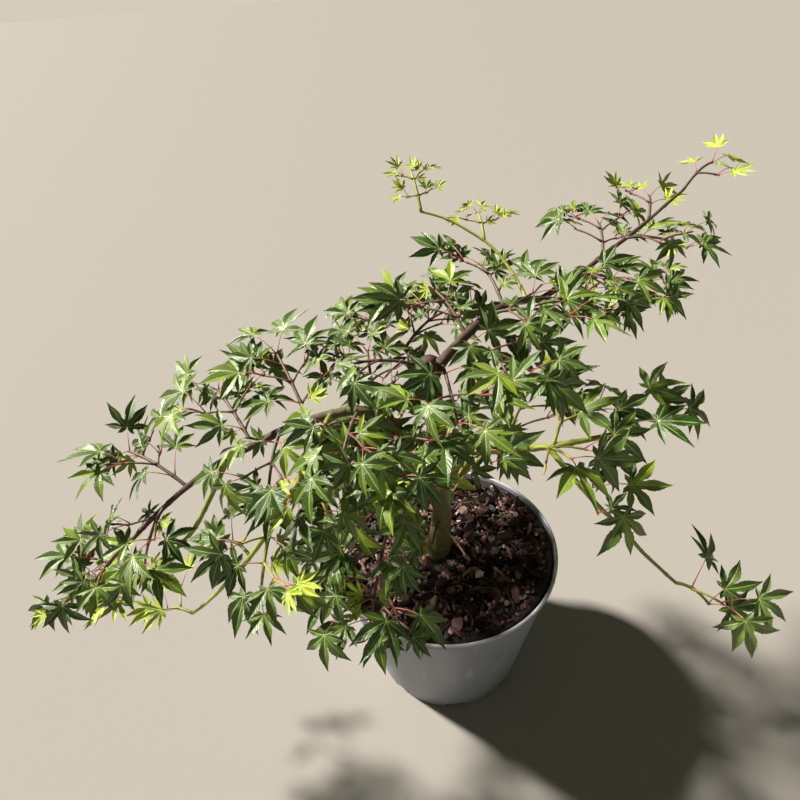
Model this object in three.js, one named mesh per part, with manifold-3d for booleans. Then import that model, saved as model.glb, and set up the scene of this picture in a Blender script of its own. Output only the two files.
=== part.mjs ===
// A young Japanese maple in a round nursery pot, topped with bark mulch.
// Units are millimetres and +Z is up. The origin is the centre of the pot's flat underside.
// The trunk stands in the mulch, and the boughs grow from the trunk or from each other. The
// trunk and each bough carry masses of foliage: one stem that branches into twigs, with pairs
// of petioles that each hold one palmate leaf. Every mass is one solid.
import * as THREE from "three";
import { mergeVertices } from "three/addons/utils/BufferGeometryUtils.js";
import Module from "manifold-3d";

const wasm = await Module();
wasm.setup();

const GAP = 0.3; // between any two pieces that meet

// The pot
const POT_HEIGHT = 200;
const RIM_RADIUS = 135;
const FOOT_RADIUS = 95;
const POT_WALL = 2.4;
const POT_SIDES = 36;
const BAND_HEIGHT = 7; // the plain band under the rim
const BAND_STEP = 2.2; // how far that band stands out from the wall
const EDGE_ROUND = 1.2;
const DRAIN = { count: 8, width: 24, height: 5, depth: 10 }; // notches round the foot

// The bark mulch
const MULCH_LEVEL = 191;
const MULCH_UNEVEN = 4;
const MULCH_RINGS = [100, 76, 50]; // radii of its uneven part
const MULCH_FLAT = 25; // the level patch round the trunk
const MULCH_WAVES = { x: 17, y: 14, slant: 37 }; // how long its humps are

// The trunk
const TRUNK_FOOT = new THREE.Vector3(-8, 1, MULCH_LEVEL + GAP);
const TRUNK_TOP = new THREE.Vector3(-10, 7, 462);
const TRUNK_BOW = new THREE.Vector3(8, -5, 0); // how far its middle bows out
const TRUNK_GIRTH = { foot: 25, top: 13 };
const ROOT_FLARE = { share: 0.42, length: 16, lobes: 5, lobeDepth: 0.4 };
const KNOB = { share: 0.3, length: 9 }; // the healed pruning cut at its top

// The foliage
const STEM_GIRTH = { root: 4.2, tip: 2.8 };
const TWIG_GIRTH = { root: 2.6, tip: 2.4 };
const PETIOLE_GIRTH = 1.8;
const NODE_HALF = 1.5; // half the length of the joint that a pair of twigs or petioles grows from
const STEM_ARCH = 7;
const INTERNODE = 22; // along a stem, from one pair of leaves to the next
const FIRST_PAIR = 0.75; // where the first pair stands on a stem, in internodes
const TWIG_CHANCE = 0.72; // that a node's bud has grown into a twig with a pair of leaves
const TWIG_TURN = { least: 38, spread: 18 };
const TWIG_REACH = { least: 0.75, spread: 0.45 }; // as shares of a leaf's length
const TWIG_CLIMB = { least: -0.24, spread: 0.6 };
const LEAF_TURN = { least: 40, spread: 28 };
const TIP_TURN = 0.6; // the last pair stands closer together
const PETIOLE_REACH = { least: 0.55, spread: 0.4 }; // as shares of a leaf's length
const PETIOLE_CLIMB = { least: 5, spread: 30 };
const LEAF_SIZE = { least: 0.86, spread: 0.32 };
const TIP_LEAVES = 0.82; // how much smaller they are at a bough's tip
const LOBES = [[-88, 0.66], [-44, 0.92], [0, 1], [44, 0.92], [88, 0.66]]; // angle, share of the length
const SINUS = 0.3; // how near to the centre the cuts between lobes reach
const VEINS_MEET = 0.08; // where the blade is thickest, ahead of the petiole's end
const LOBE_DROOP = 0.3; // how far a lobe's tip hangs, as a share of the leaf's length
const BLADE_THICKNESS = 1.2;
const BLADE_HEEL = 1.1; // how far the blade's lower side hangs under the petiole's end
const LIGHT = new THREE.Vector3(-0.08, -0.5, 1).normalize(); // the way the leaves face
const FACE_SCATTER = new THREE.Vector3(1.2, 1.2, 0.5);
const FACE_OUTWARD = 0.14;
const BLADE_TWIST = 50;
const TRIES = 10; // how often a twig or leaf is turned before its place is left empty
const GROUND_CLEARANCE = 12;
// The crown is open here, so the mulch to the right of the trunk lies in the light.
const OPENING = { foot: new THREE.Vector3(57, -26, MULCH_LEVEL), radius: 66 };
const OPENING_AXIS = new THREE.Vector3(-0.108, -0.625, 0.774).normalize();

// Each bough grows on its parent at a share of the parent's length. It heads off at an angle
// (0 is +X, 90 is +Y), reaches so far along the ground and rises so much. Its middle stands
// over the straight line by its arch, and to the left of it by its sway. Each of its masses
// is [share of the bough's length, turn from the bough's heading, reach, rise].
const BOUGHS = {
  left_leader: {
    on: "trunk", at: 0.28, heading: -172, reach: 92, rise: 157, arch: 44, sway: 6,
    girth: 13.5, tip: 10, leaf: 40,
    masses: [[0.3, -75, 60, 26], [0.52, 88, 76, 6], [0.7, -88, 74, 34], [0.88, 80, 80, -14]],
  },
  left_bough: {
    on: "left_leader", at: 1, heading: -169, reach: 237, rise: -109, arch: 28, sway: 2,
    girth: 10, tip: 4.2, leaf: 38,
    masses: [
      [0.16, -78, 86, 34], [0.28, 66, 50, -30], [0.4, -70, 88, 18], [0.7, -44, 84, 14],
      [0.82, 52, 44, -40], [1, 8, 62, -62],
    ],
  },
  left_hanger: {
    on: "left_bough", at: 0.07, heading: -165, reach: 190, rise: -226, arch: 13, sway: 44,
    girth: 7, tip: 3.2, leaf: 34,
    masses: [[0.2, 75, 52, -14], [0.4, 52, 56, -40], [0.56, -60, 46, -18], [1, 0, 48, -22]],
  },
  left_drooper: {
    on: "left_bough", at: 0.52, heading: -157, reach: 96, rise: -102, arch: -5, sway: 13,
    girth: 5.6, tip: 3.2, leaf: 30,
    masses: [[1, 12, 48, -44]],
  },
  front_bough: {
    on: "trunk", at: 0.485, heading: -128, reach: 95, rise: 10, arch: 22, sway: 0,
    girth: 8.5, tip: 4.5, leaf: 42,
    masses: [[0.34, -65, 86, -26], [0.5, 52, 56, 28], [0.78, -50, 66, -56], [1, 14, 66, -76]],
  },
  right_bough: {
    on: "trunk", at: 0.93, heading: 40, reach: 177, rise: 18, arch: 22, sway: 2,
    girth: 10.5, tip: 7.6, leaf: 37,
    masses: [
      [0.09, -126, 70, -26], [0.22, -72, 80, -14], [0.3, 72, 64, 24], [0.55, -60, 78, 2],
      [0.64, 62, 70, 20], [0.9, -55, 84, -10],
    ],
  },
  right_outer: {
    on: "right_bough", at: 1, heading: 30, reach: 225, rise: 74, arch: -12, sway: 6,
    girth: 7.4, tip: 3.2, leaf: 34,
    masses: [
      [0.78, 44, 46, 14], [0.28, -55, 84, -18], [0.46, 48, 60, 18], [0.62, -48, 70, -10],
      [1, 0, 44, 26],
    ],
  },
  right_low: {
    on: "trunk", at: 0.61, heading: -9, reach: 175, rise: 22, arch: 2, sway: -15,
    girth: 9.5, tip: 5, leaf: 44,
    masses: [
      [0.21, -64, 62, 34], [0.38, 70, 62, 32], [0.66, 60, 44, 28], [0.55, -50, 48, 16],
      [1, 8, 52, 2],
    ],
  },
  right_drooper: {
    on: "right_low", at: 0.63, heading: -36, reach: 145, rise: -120, arch: 11, sway: -16,
    girth: 5.6, tip: 3.2, leaf: 46,
    masses: [[0.25, -30, 42, -4], [1, 0, 38, -30]],
  },
  top_shoot: {
    on: "right_bough", at: 0.86, heading: 137, reach: 145, rise: 75, arch: 8, sway: -24,
    girth: 4, tip: 2.6, leaf: 20,
    masses: [[0.5, -45, 44, 18], [1, -70, 46, 36]],
  },
  back_bough: {
    on: "trunk", at: 0.84, heading: 112, reach: 112, rise: 14, arch: 16, sway: 0,
    girth: 8.5, tip: 4.5, leaf: 38,
    masses: [[0.34, 70, 80, 6], [0.6, -62, 74, 10], [1, 0, 78, -12]],
  },
};
// The trunk's own masses are [share of its height, heading, reach, rise].
const TRUNK_FOLIAGE = { leaf: 38, masses: [[0.2, -108, 46, 8], [0.35, 62, 98, 8], [0.485, 128, 92, 2]] };
const TRUNK_SKIN = { sides: 10, steps: 10 };
const BOUGH_SKIN = { sides: 7, steps: 7 };
// The space round a stem, twig, petiole or blade that its neighbours keep out of.
const STEM_SPACE = { sides: 6, steps: 4 };
const TWIG_SPACE = { sides: 6, steps: 1 };
const WOOD_SPACE = 0.5;
const BLADE_SPACE = { half: 2, scale: 1.02 };
const FIRST_SEED = 983;
const SEED_STEP = 17;

const LOOKS = {
  pot: { color: 0x9a9da3, roughness: 0.45 },
  mulch: { color: 0x3a221b, roughness: 0.95 },
  bark: { color: 0x6a5a3a, roughness: 0.85 },
  greenBark: { color: 0x86903a, roughness: 0.6 },
  leaf: { color: 0x4f7a3a, roughness: 0.55 },
  youngLeaf: { color: 0x9bbf3c, roughness: 0.5 },
};
const GREEN_BOUGHS = ["left_hanger", "left_drooper", "right_low", "right_drooper", "top_shoot"];
const YOUNG_LEAF = 30; // masses with leaves under this length are young growth

const { degToRad, radToDeg, lerp } = THREE.MathUtils;
const UP = new THREE.Vector3(0, 0, 1);

function along(degrees) {
  return new THREE.Vector3(Math.cos(degToRad(degrees)), Math.sin(degToRad(degrees)), 0);
}

function headingOf(vector) {
  return radToDeg(Math.atan2(vector.y, vector.x));
}

// A repeatable random number from 0 to 1, for the growth rule.
function seeded(seed) {
  let state = seed >>> 0;
  return () => {
    state = (state + 0x6d2b79f5) >>> 0;
    let mixed = Math.imul(state ^ (state >>> 15), state | 1);
    mixed ^= mixed + Math.imul(mixed ^ (mixed >>> 7), mixed | 61);
    return ((mixed ^ (mixed >>> 14)) >>> 0) / 4294967296;
  };
}

function drawn(range, draw) {
  return range.least + range.spread * draw();
}

// Solids for cutting and joining, and geometries for showing.

function solidOf(geometry) {
  const bare = geometry.clone();
  bare.deleteAttribute("normal");
  bare.deleteAttribute("uv");
  const merged = mergeVertices(bare, 1e-3);
  return new wasm.Manifold(new wasm.Mesh({
    numProp: 3,
    vertProperties: new Float32Array(merged.attributes.position.array),
    triVerts: new Uint32Array(merged.index.array),
  }));
}

function geometryOf(solid) {
  const mesh = solid.getMesh();
  const geometry = new THREE.BufferGeometry();
  geometry.setAttribute("position", new THREE.BufferAttribute(new Float32Array(mesh.vertProperties), 3));
  geometry.setIndex(new THREE.BufferAttribute(new Uint32Array(mesh.triVerts), 1));
  geometry.computeVertexNormals();
  return geometry;
}

function facetGeometry(points, faces) {
  const geometry = new THREE.BufferGeometry().setFromPoints(points);
  geometry.setIndex(faces.flat());
  return geometry;
}

// Rings of points, joined in order and closed with a fan at each end.
function skin(rings) {
  const sides = rings[0].length;
  const faces = [];
  for (let i = 0; i + 1 < rings.length; i++) {
    for (let j = 0; j < sides; j++) {
      const a = i * sides + j;
      const b = i * sides + ((j + 1) % sides);
      faces.push([a, b, b + sides], [a, b + sides, a + sides]);
    }
  }
  const last = (rings.length - 1) * sides;
  for (let j = 1; j + 1 < sides; j++) {
    faces.push([0, j + 1, j], [last, last + j, last + j + 1]);
  }
  return facetGeometry(rings.flat(), faces);
}

// A limb is a curve with a radius at each share of its length. Growing it by an extra
// thickness gives the space that its neighbours are cut clear of.
function limbGeometry(limb, extra = 0) {
  const { curve, radiusAt, sides, steps } = limb;
  const frames = curve.computeFrenetFrames(steps);
  const rings = [];
  for (let i = 0; i <= steps; i++) {
    const share = i / steps;
    const centre = curve.getPoint(share);
    if (i === steps) {
      centre.addScaledVector(frames.tangents[i], extra);
    }
    const across = new THREE.Vector3().crossVectors(frames.tangents[i], frames.normals[i]);
    rings.push(Array.from({ length: sides }, (_, j) => {
      const angle = (2 * Math.PI * j) / sides;
      const radius = radiusAt(share, angle) + extra;
      return centre.clone()
        .addScaledVector(frames.normals[i], Math.cos(angle) * radius)
        .addScaledVector(across, Math.sin(angle) * radius);
    }));
  }
  return skin(rings);
}

function limbSolid(limb, extra = 0) {
  return solidOf(limbGeometry(limb, extra));
}

// The curve of a bough or stem that heads off from its start, reaches out and rises.
function grownCurve(start, heading, reach, rise, arch, sway) {
  const out = along(heading);
  const left = along(heading + 90);
  const end = start.clone().addScaledVector(out, reach);
  end.z += rise;
  const control = start.clone().lerp(end, 0.5).addScaledVector(left, 2 * sway);
  control.z += 2 * arch;
  return new THREE.QuadraticBezierCurve3(start, control, end);
}

// The pot: a lathed shell with a plain band under its rim and drain notches round its foot

function potWallRadius(height) {
  return lerp(FOOT_RADIUS, RIM_RADIUS - BAND_STEP, height / POT_HEIGHT);
}

function potSolid() {
  const bandFoot = POT_HEIGHT - BAND_HEIGHT;
  const profile = [
    [0, 0],
    [FOOT_RADIUS - EDGE_ROUND, 0],
    [potWallRadius(EDGE_ROUND), EDGE_ROUND],
    [potWallRadius(bandFoot), bandFoot],
    [RIM_RADIUS, bandFoot + EDGE_ROUND],
    [RIM_RADIUS, POT_HEIGHT - EDGE_ROUND],
    [RIM_RADIUS - EDGE_ROUND, POT_HEIGHT],
    [potWallRadius(POT_HEIGHT) - POT_WALL, POT_HEIGHT - EDGE_ROUND],
    [potWallRadius(POT_WALL) - POT_WALL, POT_WALL],
    [0, POT_WALL],
  ].map(([radius, height]) => new THREE.Vector2(radius, height));
  let pot = solidOf(new THREE.LatheGeometry(profile, POT_SIDES).rotateX(Math.PI / 2));
  for (let i = 0; i < DRAIN.count; i++) {
    const notch = new THREE.BoxGeometry(2 * DRAIN.depth, DRAIN.width, 2 * DRAIN.height)
      .translate(FOOT_RADIUS, 0, 0)
      .rotateZ((2 * Math.PI * i) / DRAIN.count);
    pot = pot.subtract(solidOf(notch));
  }
  return pot;
}

// The bark mulch: it fills the pot, and its top is uneven but for the patch round the trunk

function mulchSolid() {
  const inner = (height) => potWallRadius(height) - POT_WALL - GAP;
  const edge = inner(MULCH_LEVEL);
  const ring = (radius, heightAt, towardsTrunk = 0) => Array.from({ length: POT_SIDES }, (_, j) => {
    const point = along((360 * j) / POT_SIDES).multiplyScalar(radius);
    point.addScaledVector(TRUNK_FOOT, towardsTrunk);
    point.z = heightAt(point);
    return point;
  });
  const uneven = ({ x, y }) => {
    const { x: waveX, y: waveY, slant } = MULCH_WAVES;
    return MULCH_LEVEL + MULCH_UNEVEN * Math.sin(x / waveX + y / slant) * Math.cos(y / waveY - x / slant);
  };
  const floor = POT_WALL + GAP;
  const overDrains = floor + DRAIN.height;
  return solidOf(skin([
    ring(inner(floor) - DRAIN.depth, () => floor),
    ring(inner(overDrains), () => overDrains),
    ring(edge, () => MULCH_LEVEL),
    ...MULCH_RINGS.map((radius) => ring(radius, uneven, 1 - radius / edge)),
    ring(MULCH_FLAT, () => MULCH_LEVEL, 1),
  ]));
}

// The trunk and the boughs

function trunkLimb() {
  const middle = TRUNK_FOOT.clone().lerp(TRUNK_TOP, 0.5).addScaledVector(TRUNK_BOW, 2);
  const curve = new THREE.QuadraticBezierCurve3(TRUNK_FOOT, middle, TRUNK_TOP);
  const length = curve.getLength();
  const radiusAt = (share, angle) => {
    const flare = ROOT_FLARE.share * Math.exp((-share * length) / ROOT_FLARE.length);
    const lobed = 1 + ROOT_FLARE.lobeDepth * Math.cos(ROOT_FLARE.lobes * angle);
    const knob = KNOB.share * Math.exp(((share - 1) * length) / KNOB.length);
    return (lerp(TRUNK_GIRTH.foot, TRUNK_GIRTH.top, share) / 2) * (1 + flare * lobed + knob);
  };
  return { curve, radiusAt, ...TRUNK_SKIN };
}

// The trunk's foot is cut level with the mulch.
function trunkSolid(limb) {
  const geometry = limbGeometry(limb);
  for (let i = 0; i < limb.sides; i++) {
    geometry.attributes.position.setZ(i, TRUNK_FOOT.z);
  }
  return solidOf(geometry);
}

function taperedLimb(curve, girth, shape) {
  return { curve, radiusAt: (share) => lerp(girth.root, girth.tip, share) / 2, ...shape };
}

function boughLimb(bough, parent) {
  const start = parent.curve.getPoint(bough.at);
  const curve = grownCurve(start, bough.heading, bough.reach, bough.rise, bough.arch, bough.sway);
  return taperedLimb(curve, { root: bough.girth, tip: bough.tip }, BOUGH_SKIN);
}

// Leaves and their places

// A leaf on a petiole that leaves its root at a heading. Its blade faces the light.
function leafAt(root, heading, size, draw) {
  const climb = degToRad(drawn(PETIOLE_CLIMB, draw));
  const petiole = size * drawn(PETIOLE_REACH, draw);
  const base = root.clone().addScaledVector(along(heading), Math.cos(climb) * petiole);
  base.z += Math.sin(climb) * petiole;
  const length = size * drawn(LEAF_SIZE, draw);
  const face = new THREE.Vector3(draw() - 0.5, draw() - 0.5, draw() - 0.5)
    .multiply(FACE_SCATTER)
    .addScaledVector(along(heading), FACE_OUTWARD)
    .add(LIGHT)
    .normalize();
  const axis = along(heading + BLADE_TWIST * (draw() - 0.5));
  axis.addScaledVector(face, -axis.dot(face)).normalize();
  const side = new THREE.Vector3().crossVectors(face, axis);
  return { root, base, axis, side, face, length };
}

// A point on the blade, at an angle from its middle lobe and a share of the leaf's length.
function bladePoint(leaf, angle, share) {
  const turn = degToRad(angle);
  return leaf.base.clone()
    .addScaledVector(leaf.axis, Math.cos(turn) * share * leaf.length)
    .addScaledVector(leaf.side, Math.sin(turn) * share * leaf.length)
    .addScaledVector(leaf.face, -LOBE_DROOP * share * share * leaf.length);
}

// The blade's outline, from the lobe on its right to the lobe on its left.
function bladeOutline(leaf, scale = 1) {
  return LOBES.flatMap(([angle, share], i) => {
    const tip = bladePoint(leaf, angle, share * scale);
    return i === 0 ? [tip] : [bladePoint(leaf, (LOBES[i - 1][0] + angle) / 2, SINUS * scale), tip];
  });
}

// The space of a blade is a star that is thickest where its petiole ends.
function bladeSpace(leaf) {
  const outline = bladeOutline(leaf, BLADE_SPACE.scale);
  const top = leaf.base.clone().addScaledVector(leaf.face, BLADE_SPACE.half);
  const bottom = leaf.base.clone().addScaledVector(leaf.face, -BLADE_SPACE.half);
  const heel = leaf.base.clone().addScaledVector(leaf.axis, -BLADE_SPACE.half);
  const points = [...outline, heel, top, bottom];
  const count = outline.length + 1;
  const faces = [];
  for (let i = 0; i < count; i++) {
    const next = (i + 1) % count;
    faces.push([count, i, next], [count + 1, next, i]);
  }
  return solidOf(facetGeometry(points, faces));
}

function petioleSpace(leaf) {
  const girth = { root: PETIOLE_GIRTH, tip: PETIOLE_GIRTH };
  return limbSolid(taperedLimb(new THREE.LineCurve3(leaf.root, leaf.base), girth, TWIG_SPACE), WOOD_SPACE);
}

// A leaf stays off the ground and out of the opening over the mulch.
function isInPlace(leaf) {
  return LOBES.every(([angle, share]) => {
    const tip = bladePoint(leaf, angle, share);
    const fromFoot = tip.clone().sub(OPENING.foot);
    const up = fromFoot.dot(OPENING_AXIS);
    const aside = fromFoot.addScaledVector(OPENING_AXIS, -up).length();
    return tip.z > GROUND_CLEARANCE && (up < 0 || aside > OPENING.radius);
  });
}

// What is already there: each entry is a solid, its box, whose it is, and if it is a blade.

const space = [];

function entryOf(solid, owner, isBlade = false) {
  const { min, max } = solid.boundingBox();
  const box = new THREE.Box3(new THREE.Vector3(...min), new THREE.Vector3(...max));
  return { solid, owner, isBlade, box };
}

function meets(a, b) {
  return a.box.intersectsBox(b.box) && a.solid.intersect(b.solid).volume() > 0;
}

// Wood may run into wood of its own mass, and nothing else may touch.
function isFree(entry) {
  return !space.some((other) => {
    const joins = entry.owner === other.owner && !entry.isBlade && !other.isBlade;
    return !joins && meets(entry, other);
  });
}

// A mass is grown as one skin. Its wood has three sides, and each twig or petiole opens out
// of one facet of the wood that carries it.

function addPoints(mass, points) {
  const first = mass.points.length;
  mass.points.push(...points);
  return points.map((_, i) => first + i);
}

// Three points round a centre: on top, on the right and on the left, seen along the direction.
function addRing(mass, centre, direction, girth) {
  const top = UP.clone().addScaledVector(direction, -direction.z).normalize();
  const right = new THREE.Vector3().crossVectors(direction, top);
  return addPoints(mass, [0, 120, 240].map((angle) => centre.clone()
    .addScaledVector(top, Math.cos(degToRad(angle)) * (girth / 2))
    .addScaledVector(right, Math.sin(degToRad(angle)) * (girth / 2))));
}

// Joins two rings, turned so that the three sides between them are least twisted.
function bridge(mass, from, to) {
  const strain = (shift) => from.reduce((sum, point, j) => (
    sum + mass.points[point].distanceTo(mass.points[to[(j + shift) % 3]])), 0);
  const shift = [0, 1, 2].sort((a, b) => strain(a) - strain(b))[0];
  from.forEach((a, j) => {
    const b = from[(j + 1) % 3];
    const c = to[(j + 1 + shift) % 3];
    const d = to[(j + shift) % 3];
    mass.faces.push([a, b, c], [a, c, d]);
  });
}

// A joint of the wood, where one facet on the right and one on the left stay open.
function openJoint(mass, before, after) {
  mass.faces.push([before[0], after[1], after[0]]);
  mass.faces.push([before[1], before[2], after[2]], [before[1], after[2], after[1]]);
  mass.faces.push([before[2], after[0], after[2]]);
  return { right: [before[0], before[1], after[1]], left: [before[2], before[0], after[0]] };
}

function centreOf(mass, facet) {
  const sum = facet.reduce((total, point) => total.add(mass.points[point]), new THREE.Vector3());
  return sum.divideScalar(3);
}

// A petiole from an open facet, with the blade's upper side round the point where the veins
// meet, and its lower side round the petiole's lower edge.
function addLeaf(mass, facet, leaf) {
  const inward = leaf.base.clone().sub(leaf.root).normalize().add(leaf.axis).normalize();
  const lower = new THREE.Vector3().crossVectors(leaf.side, inward);
  const [left, right, under] = addPoints(mass, [
    leaf.base.clone().addScaledVector(leaf.side, PETIOLE_GIRTH / 2),
    leaf.base.clone().addScaledVector(leaf.side, -PETIOLE_GIRTH / 2),
    leaf.base.clone().addScaledVector(lower, BLADE_HEEL),
  ]);
  bridge(mass, facet, [left, right, under]);
  const outline = [right, ...addPoints(mass, bladeOutline(leaf)), left];
  const [veins] = addPoints(mass, [
    bladePoint(leaf, 0, VEINS_MEET).addScaledVector(leaf.face, BLADE_THICKNESS / 2),
  ]);
  for (let i = 0; i + 1 < outline.length; i++) {
    mass.faces.push([veins, outline[i], outline[i + 1]], [under, outline[i + 1], outline[i]]);
  }
  mass.faces.push([veins, left, right]);
}

function growLeaf(mass, facet, heading, spread, draw) {
  const root = centreOf(mass, facet);
  for (let attempt = 0; attempt < TRIES; attempt++) {
    const leaf = leafAt(root, heading + spread * drawn(LEAF_TURN, draw), mass.leafSize, draw);
    const around = [
      entryOf(petioleSpace(leaf), mass.name),
      entryOf(bladeSpace(leaf), mass.name, true),
    ];
    if (isInPlace(leaf) && around.every(isFree)) {
      space.push(...around);
      addLeaf(mass, facet, leaf);
      return;
    }
  }
  mass.faces.push(facet);
}

function growTwig(mass, facet, heading, side, draw) {
  const root = centreOf(mass, facet);
  for (let attempt = 0; attempt < TRIES; attempt++) {
    const twigHeading = heading + side * drawn(TWIG_TURN, draw);
    const reach = mass.leafSize * drawn(TWIG_REACH, draw);
    const end = root.clone().addScaledVector(along(twigHeading), reach);
    end.z += reach * drawn(TWIG_CLIMB, draw);
    const twig = taperedLimb(new THREE.LineCurve3(root, end), TWIG_GIRTH, TWIG_SPACE);
    const around = entryOf(limbSolid(twig, WOOD_SPACE), mass.name);
    if (isFree(around)) {
      space.push(around);
      const direction = end.clone().sub(root).normalize();
      const beforeEnd = end.clone().addScaledVector(direction, -2 * NODE_HALF);
      const before = addRing(mass, beforeEnd, direction, TWIG_GIRTH.tip);
      const after = addRing(mass, end, direction, TWIG_GIRTH.tip);
      bridge(mass, facet, before);
      mass.faces.push(after);
      const { right, left } = openJoint(mass, before, after);
      growLeaf(mass, right, twigHeading, -TIP_TURN, draw);
      growLeaf(mass, left, twigHeading, TIP_TURN, draw);
      return;
    }
  }
  mass.faces.push(facet);
}

function growMass(mass) {
  const draw = seeded(mass.seed);
  const { curve } = mass.stem;
  const half = NODE_HALF / curve.getLength();
  const ringAt = (share) => {
    const girth = lerp(STEM_GIRTH.root, STEM_GIRTH.tip, share);
    return addRing(mass, curve.getPoint(share), curve.getTangent(share), girth);
  };
  let last = ringAt(0);
  mass.faces.push([last[0], last[2], last[1]]);
  for (let pair = 1; pair <= mass.pairs; pair++) {
    const share = Math.min((pair - 1 + FIRST_PAIR) / (mass.pairs - 1 + FIRST_PAIR), 1 - half);
    const before = ringAt(share - half);
    const after = ringAt(share + half);
    bridge(mass, last, before);
    const { right, left } = openJoint(mass, before, after);
    const heading = headingOf(curve.getTangent(share));
    for (const [facet, side] of [[right, -1], [left, 1]]) {
      if (pair === mass.pairs) {
        growLeaf(mass, facet, heading, side * TIP_TURN, draw);
      } else if (draw() < TWIG_CHANCE) {
        growTwig(mass, facet, heading, side, draw);
      } else {
        growLeaf(mass, facet, heading, side, draw);
      }
    }
    last = after;
  }
  mass.faces.push(last);
}

function massesOf(limbs) {
  const masses = [];
  for (const [name, bough] of Object.entries({ trunk: TRUNK_FOLIAGE, ...BOUGHS })) {
    bough.masses.forEach(([at, turn, reach, rise], order) => {
      const { curve } = limbs[name];
      const heading = name === "trunk" ? turn : headingOf(curve.getTangent(at)) + turn;
      const stemCurve = grownCurve(curve.getPoint(at), heading, reach, rise, STEM_ARCH, 0);
      const leafSize = bough.leaf * lerp(1, TIP_LEAVES, at);
      masses.push({
        name: `${name}_foliage_${order + 1}`,
        stem: taperedLimb(stemCurve, STEM_GIRTH, STEM_SPACE),
        pairs: Math.max(2, Math.round(Math.hypot(reach, rise) / INTERNODE)),
        seed: FIRST_SEED + SEED_STEP * masses.length,
        leafSize,
        isYoung: leafSize < YOUNG_LEAF,
        points: [],
        faces: [],
      });
    });
  }
  return masses;
}

// The plant

const plant = new THREE.Group();
const materials = {};
for (const [name, look] of Object.entries(LOOKS)) {
  materials[name] = new THREE.MeshStandardMaterial({ ...look, metalness: 0 });
}

function show(name, solid, material) {
  const mesh = new THREE.Mesh(geometryOf(solid), material);
  mesh.name = name;
  plant.add(mesh);
}

const pot = potSolid();
const mulch = mulchSolid();
space.push(entryOf(pot, "pot"), entryOf(mulch, "bark_mulch"));
show("pot", pot, materials.pot);
show("bark_mulch", mulch, materials.mulch);

const limbs = { trunk: trunkLimb() };
const grownLimbs = [entryOf(limbSolid(limbs.trunk, GAP), "trunk")];
show("trunk", trunkSolid(limbs.trunk), materials.bark);

// What is left of a solid once it is cut clear of the limbs that it meets.
function clearOfLimbs(solid) {
  return grownLimbs
    .filter((limb) => meets(entryOf(solid), limb))
    .reduce((rest, limb) => rest.subtract(limb.solid), solid);
}

for (const [name, bough] of Object.entries(BOUGHS)) {
  limbs[name] = boughLimb(bough, limbs[bough.on]);
  const isGreen = GREEN_BOUGHS.includes(name);
  show(name, clearOfLimbs(limbSolid(limbs[name])), isGreen ? materials.greenBark : materials.bark);
  grownLimbs.push(entryOf(limbSolid(limbs[name], GAP), name));
}
space.push(...grownLimbs);

const masses = massesOf(limbs);
for (const mass of masses) {
  space.push(entryOf(limbSolid(mass.stem, WOOD_SPACE), mass.name));
}
for (const mass of masses) {
  growMass(mass);
  const grown = solidOf(facetGeometry(mass.points, mass.faces));
  show(mass.name, clearOfLimbs(grown), mass.isYoung ? materials.youngLeaf : materials.leaf);
}

export default plant;
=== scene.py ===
# %% [markdown]
# # A potted maple, dressed for its portrait
# A young Japanese maple stands in a round plastic nursery pot topped with bark mulch. The packed
# part fixes where everything is. It could be shown as it is, but its leaves are plain stars and
# its limbs are coarse tubes, so this script grows the same plant again by the same rule and gives
# each piece the detail and finish of the real one. The plant's lengths are in millimetres until a
# mesh is made. Those of the lamps, the floor and the node trees are in metres.

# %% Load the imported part
import math
from functools import partial

import bpy
import numpy as np
from mathutils import Matrix, Vector
from mathutils.bvhtree import BVHTree


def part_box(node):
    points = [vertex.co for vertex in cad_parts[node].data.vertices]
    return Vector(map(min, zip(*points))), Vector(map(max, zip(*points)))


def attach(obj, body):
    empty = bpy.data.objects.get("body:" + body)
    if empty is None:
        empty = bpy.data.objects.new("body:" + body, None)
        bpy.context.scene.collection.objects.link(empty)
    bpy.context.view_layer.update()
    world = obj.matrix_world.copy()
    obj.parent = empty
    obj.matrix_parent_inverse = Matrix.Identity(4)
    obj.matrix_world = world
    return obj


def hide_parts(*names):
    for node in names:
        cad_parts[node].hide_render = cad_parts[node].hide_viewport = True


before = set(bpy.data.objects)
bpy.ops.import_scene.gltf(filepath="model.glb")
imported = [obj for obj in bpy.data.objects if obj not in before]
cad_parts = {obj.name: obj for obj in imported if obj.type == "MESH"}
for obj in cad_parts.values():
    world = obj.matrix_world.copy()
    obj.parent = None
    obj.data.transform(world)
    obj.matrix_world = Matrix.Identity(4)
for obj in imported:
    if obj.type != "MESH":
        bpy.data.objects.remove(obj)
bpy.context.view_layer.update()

# %% [markdown]
# ## The camera
# The photo was taken from standing height, close to the plant, with the phone tilted down and
# rolled a little. The camera could be aimed by eye. Its place, pitch and roll were worked out from
# the ellipses of the pot's rim and foot instead, so that the pot and the boughs fall where they
# fall in the photo.

# %% Camera
MM = 0.001
PHOTO_SIDE = 800
FOCAL_PIXELS = 580.0
SENSOR_WIDTH = 36.0
CAMERA_SPOT = Vector((-40.0, -474.3, 758.5)) * MM
CAMERA_PITCH = math.radians(35.35)
CAMERA_ROLL = math.radians(-4.6)

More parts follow.
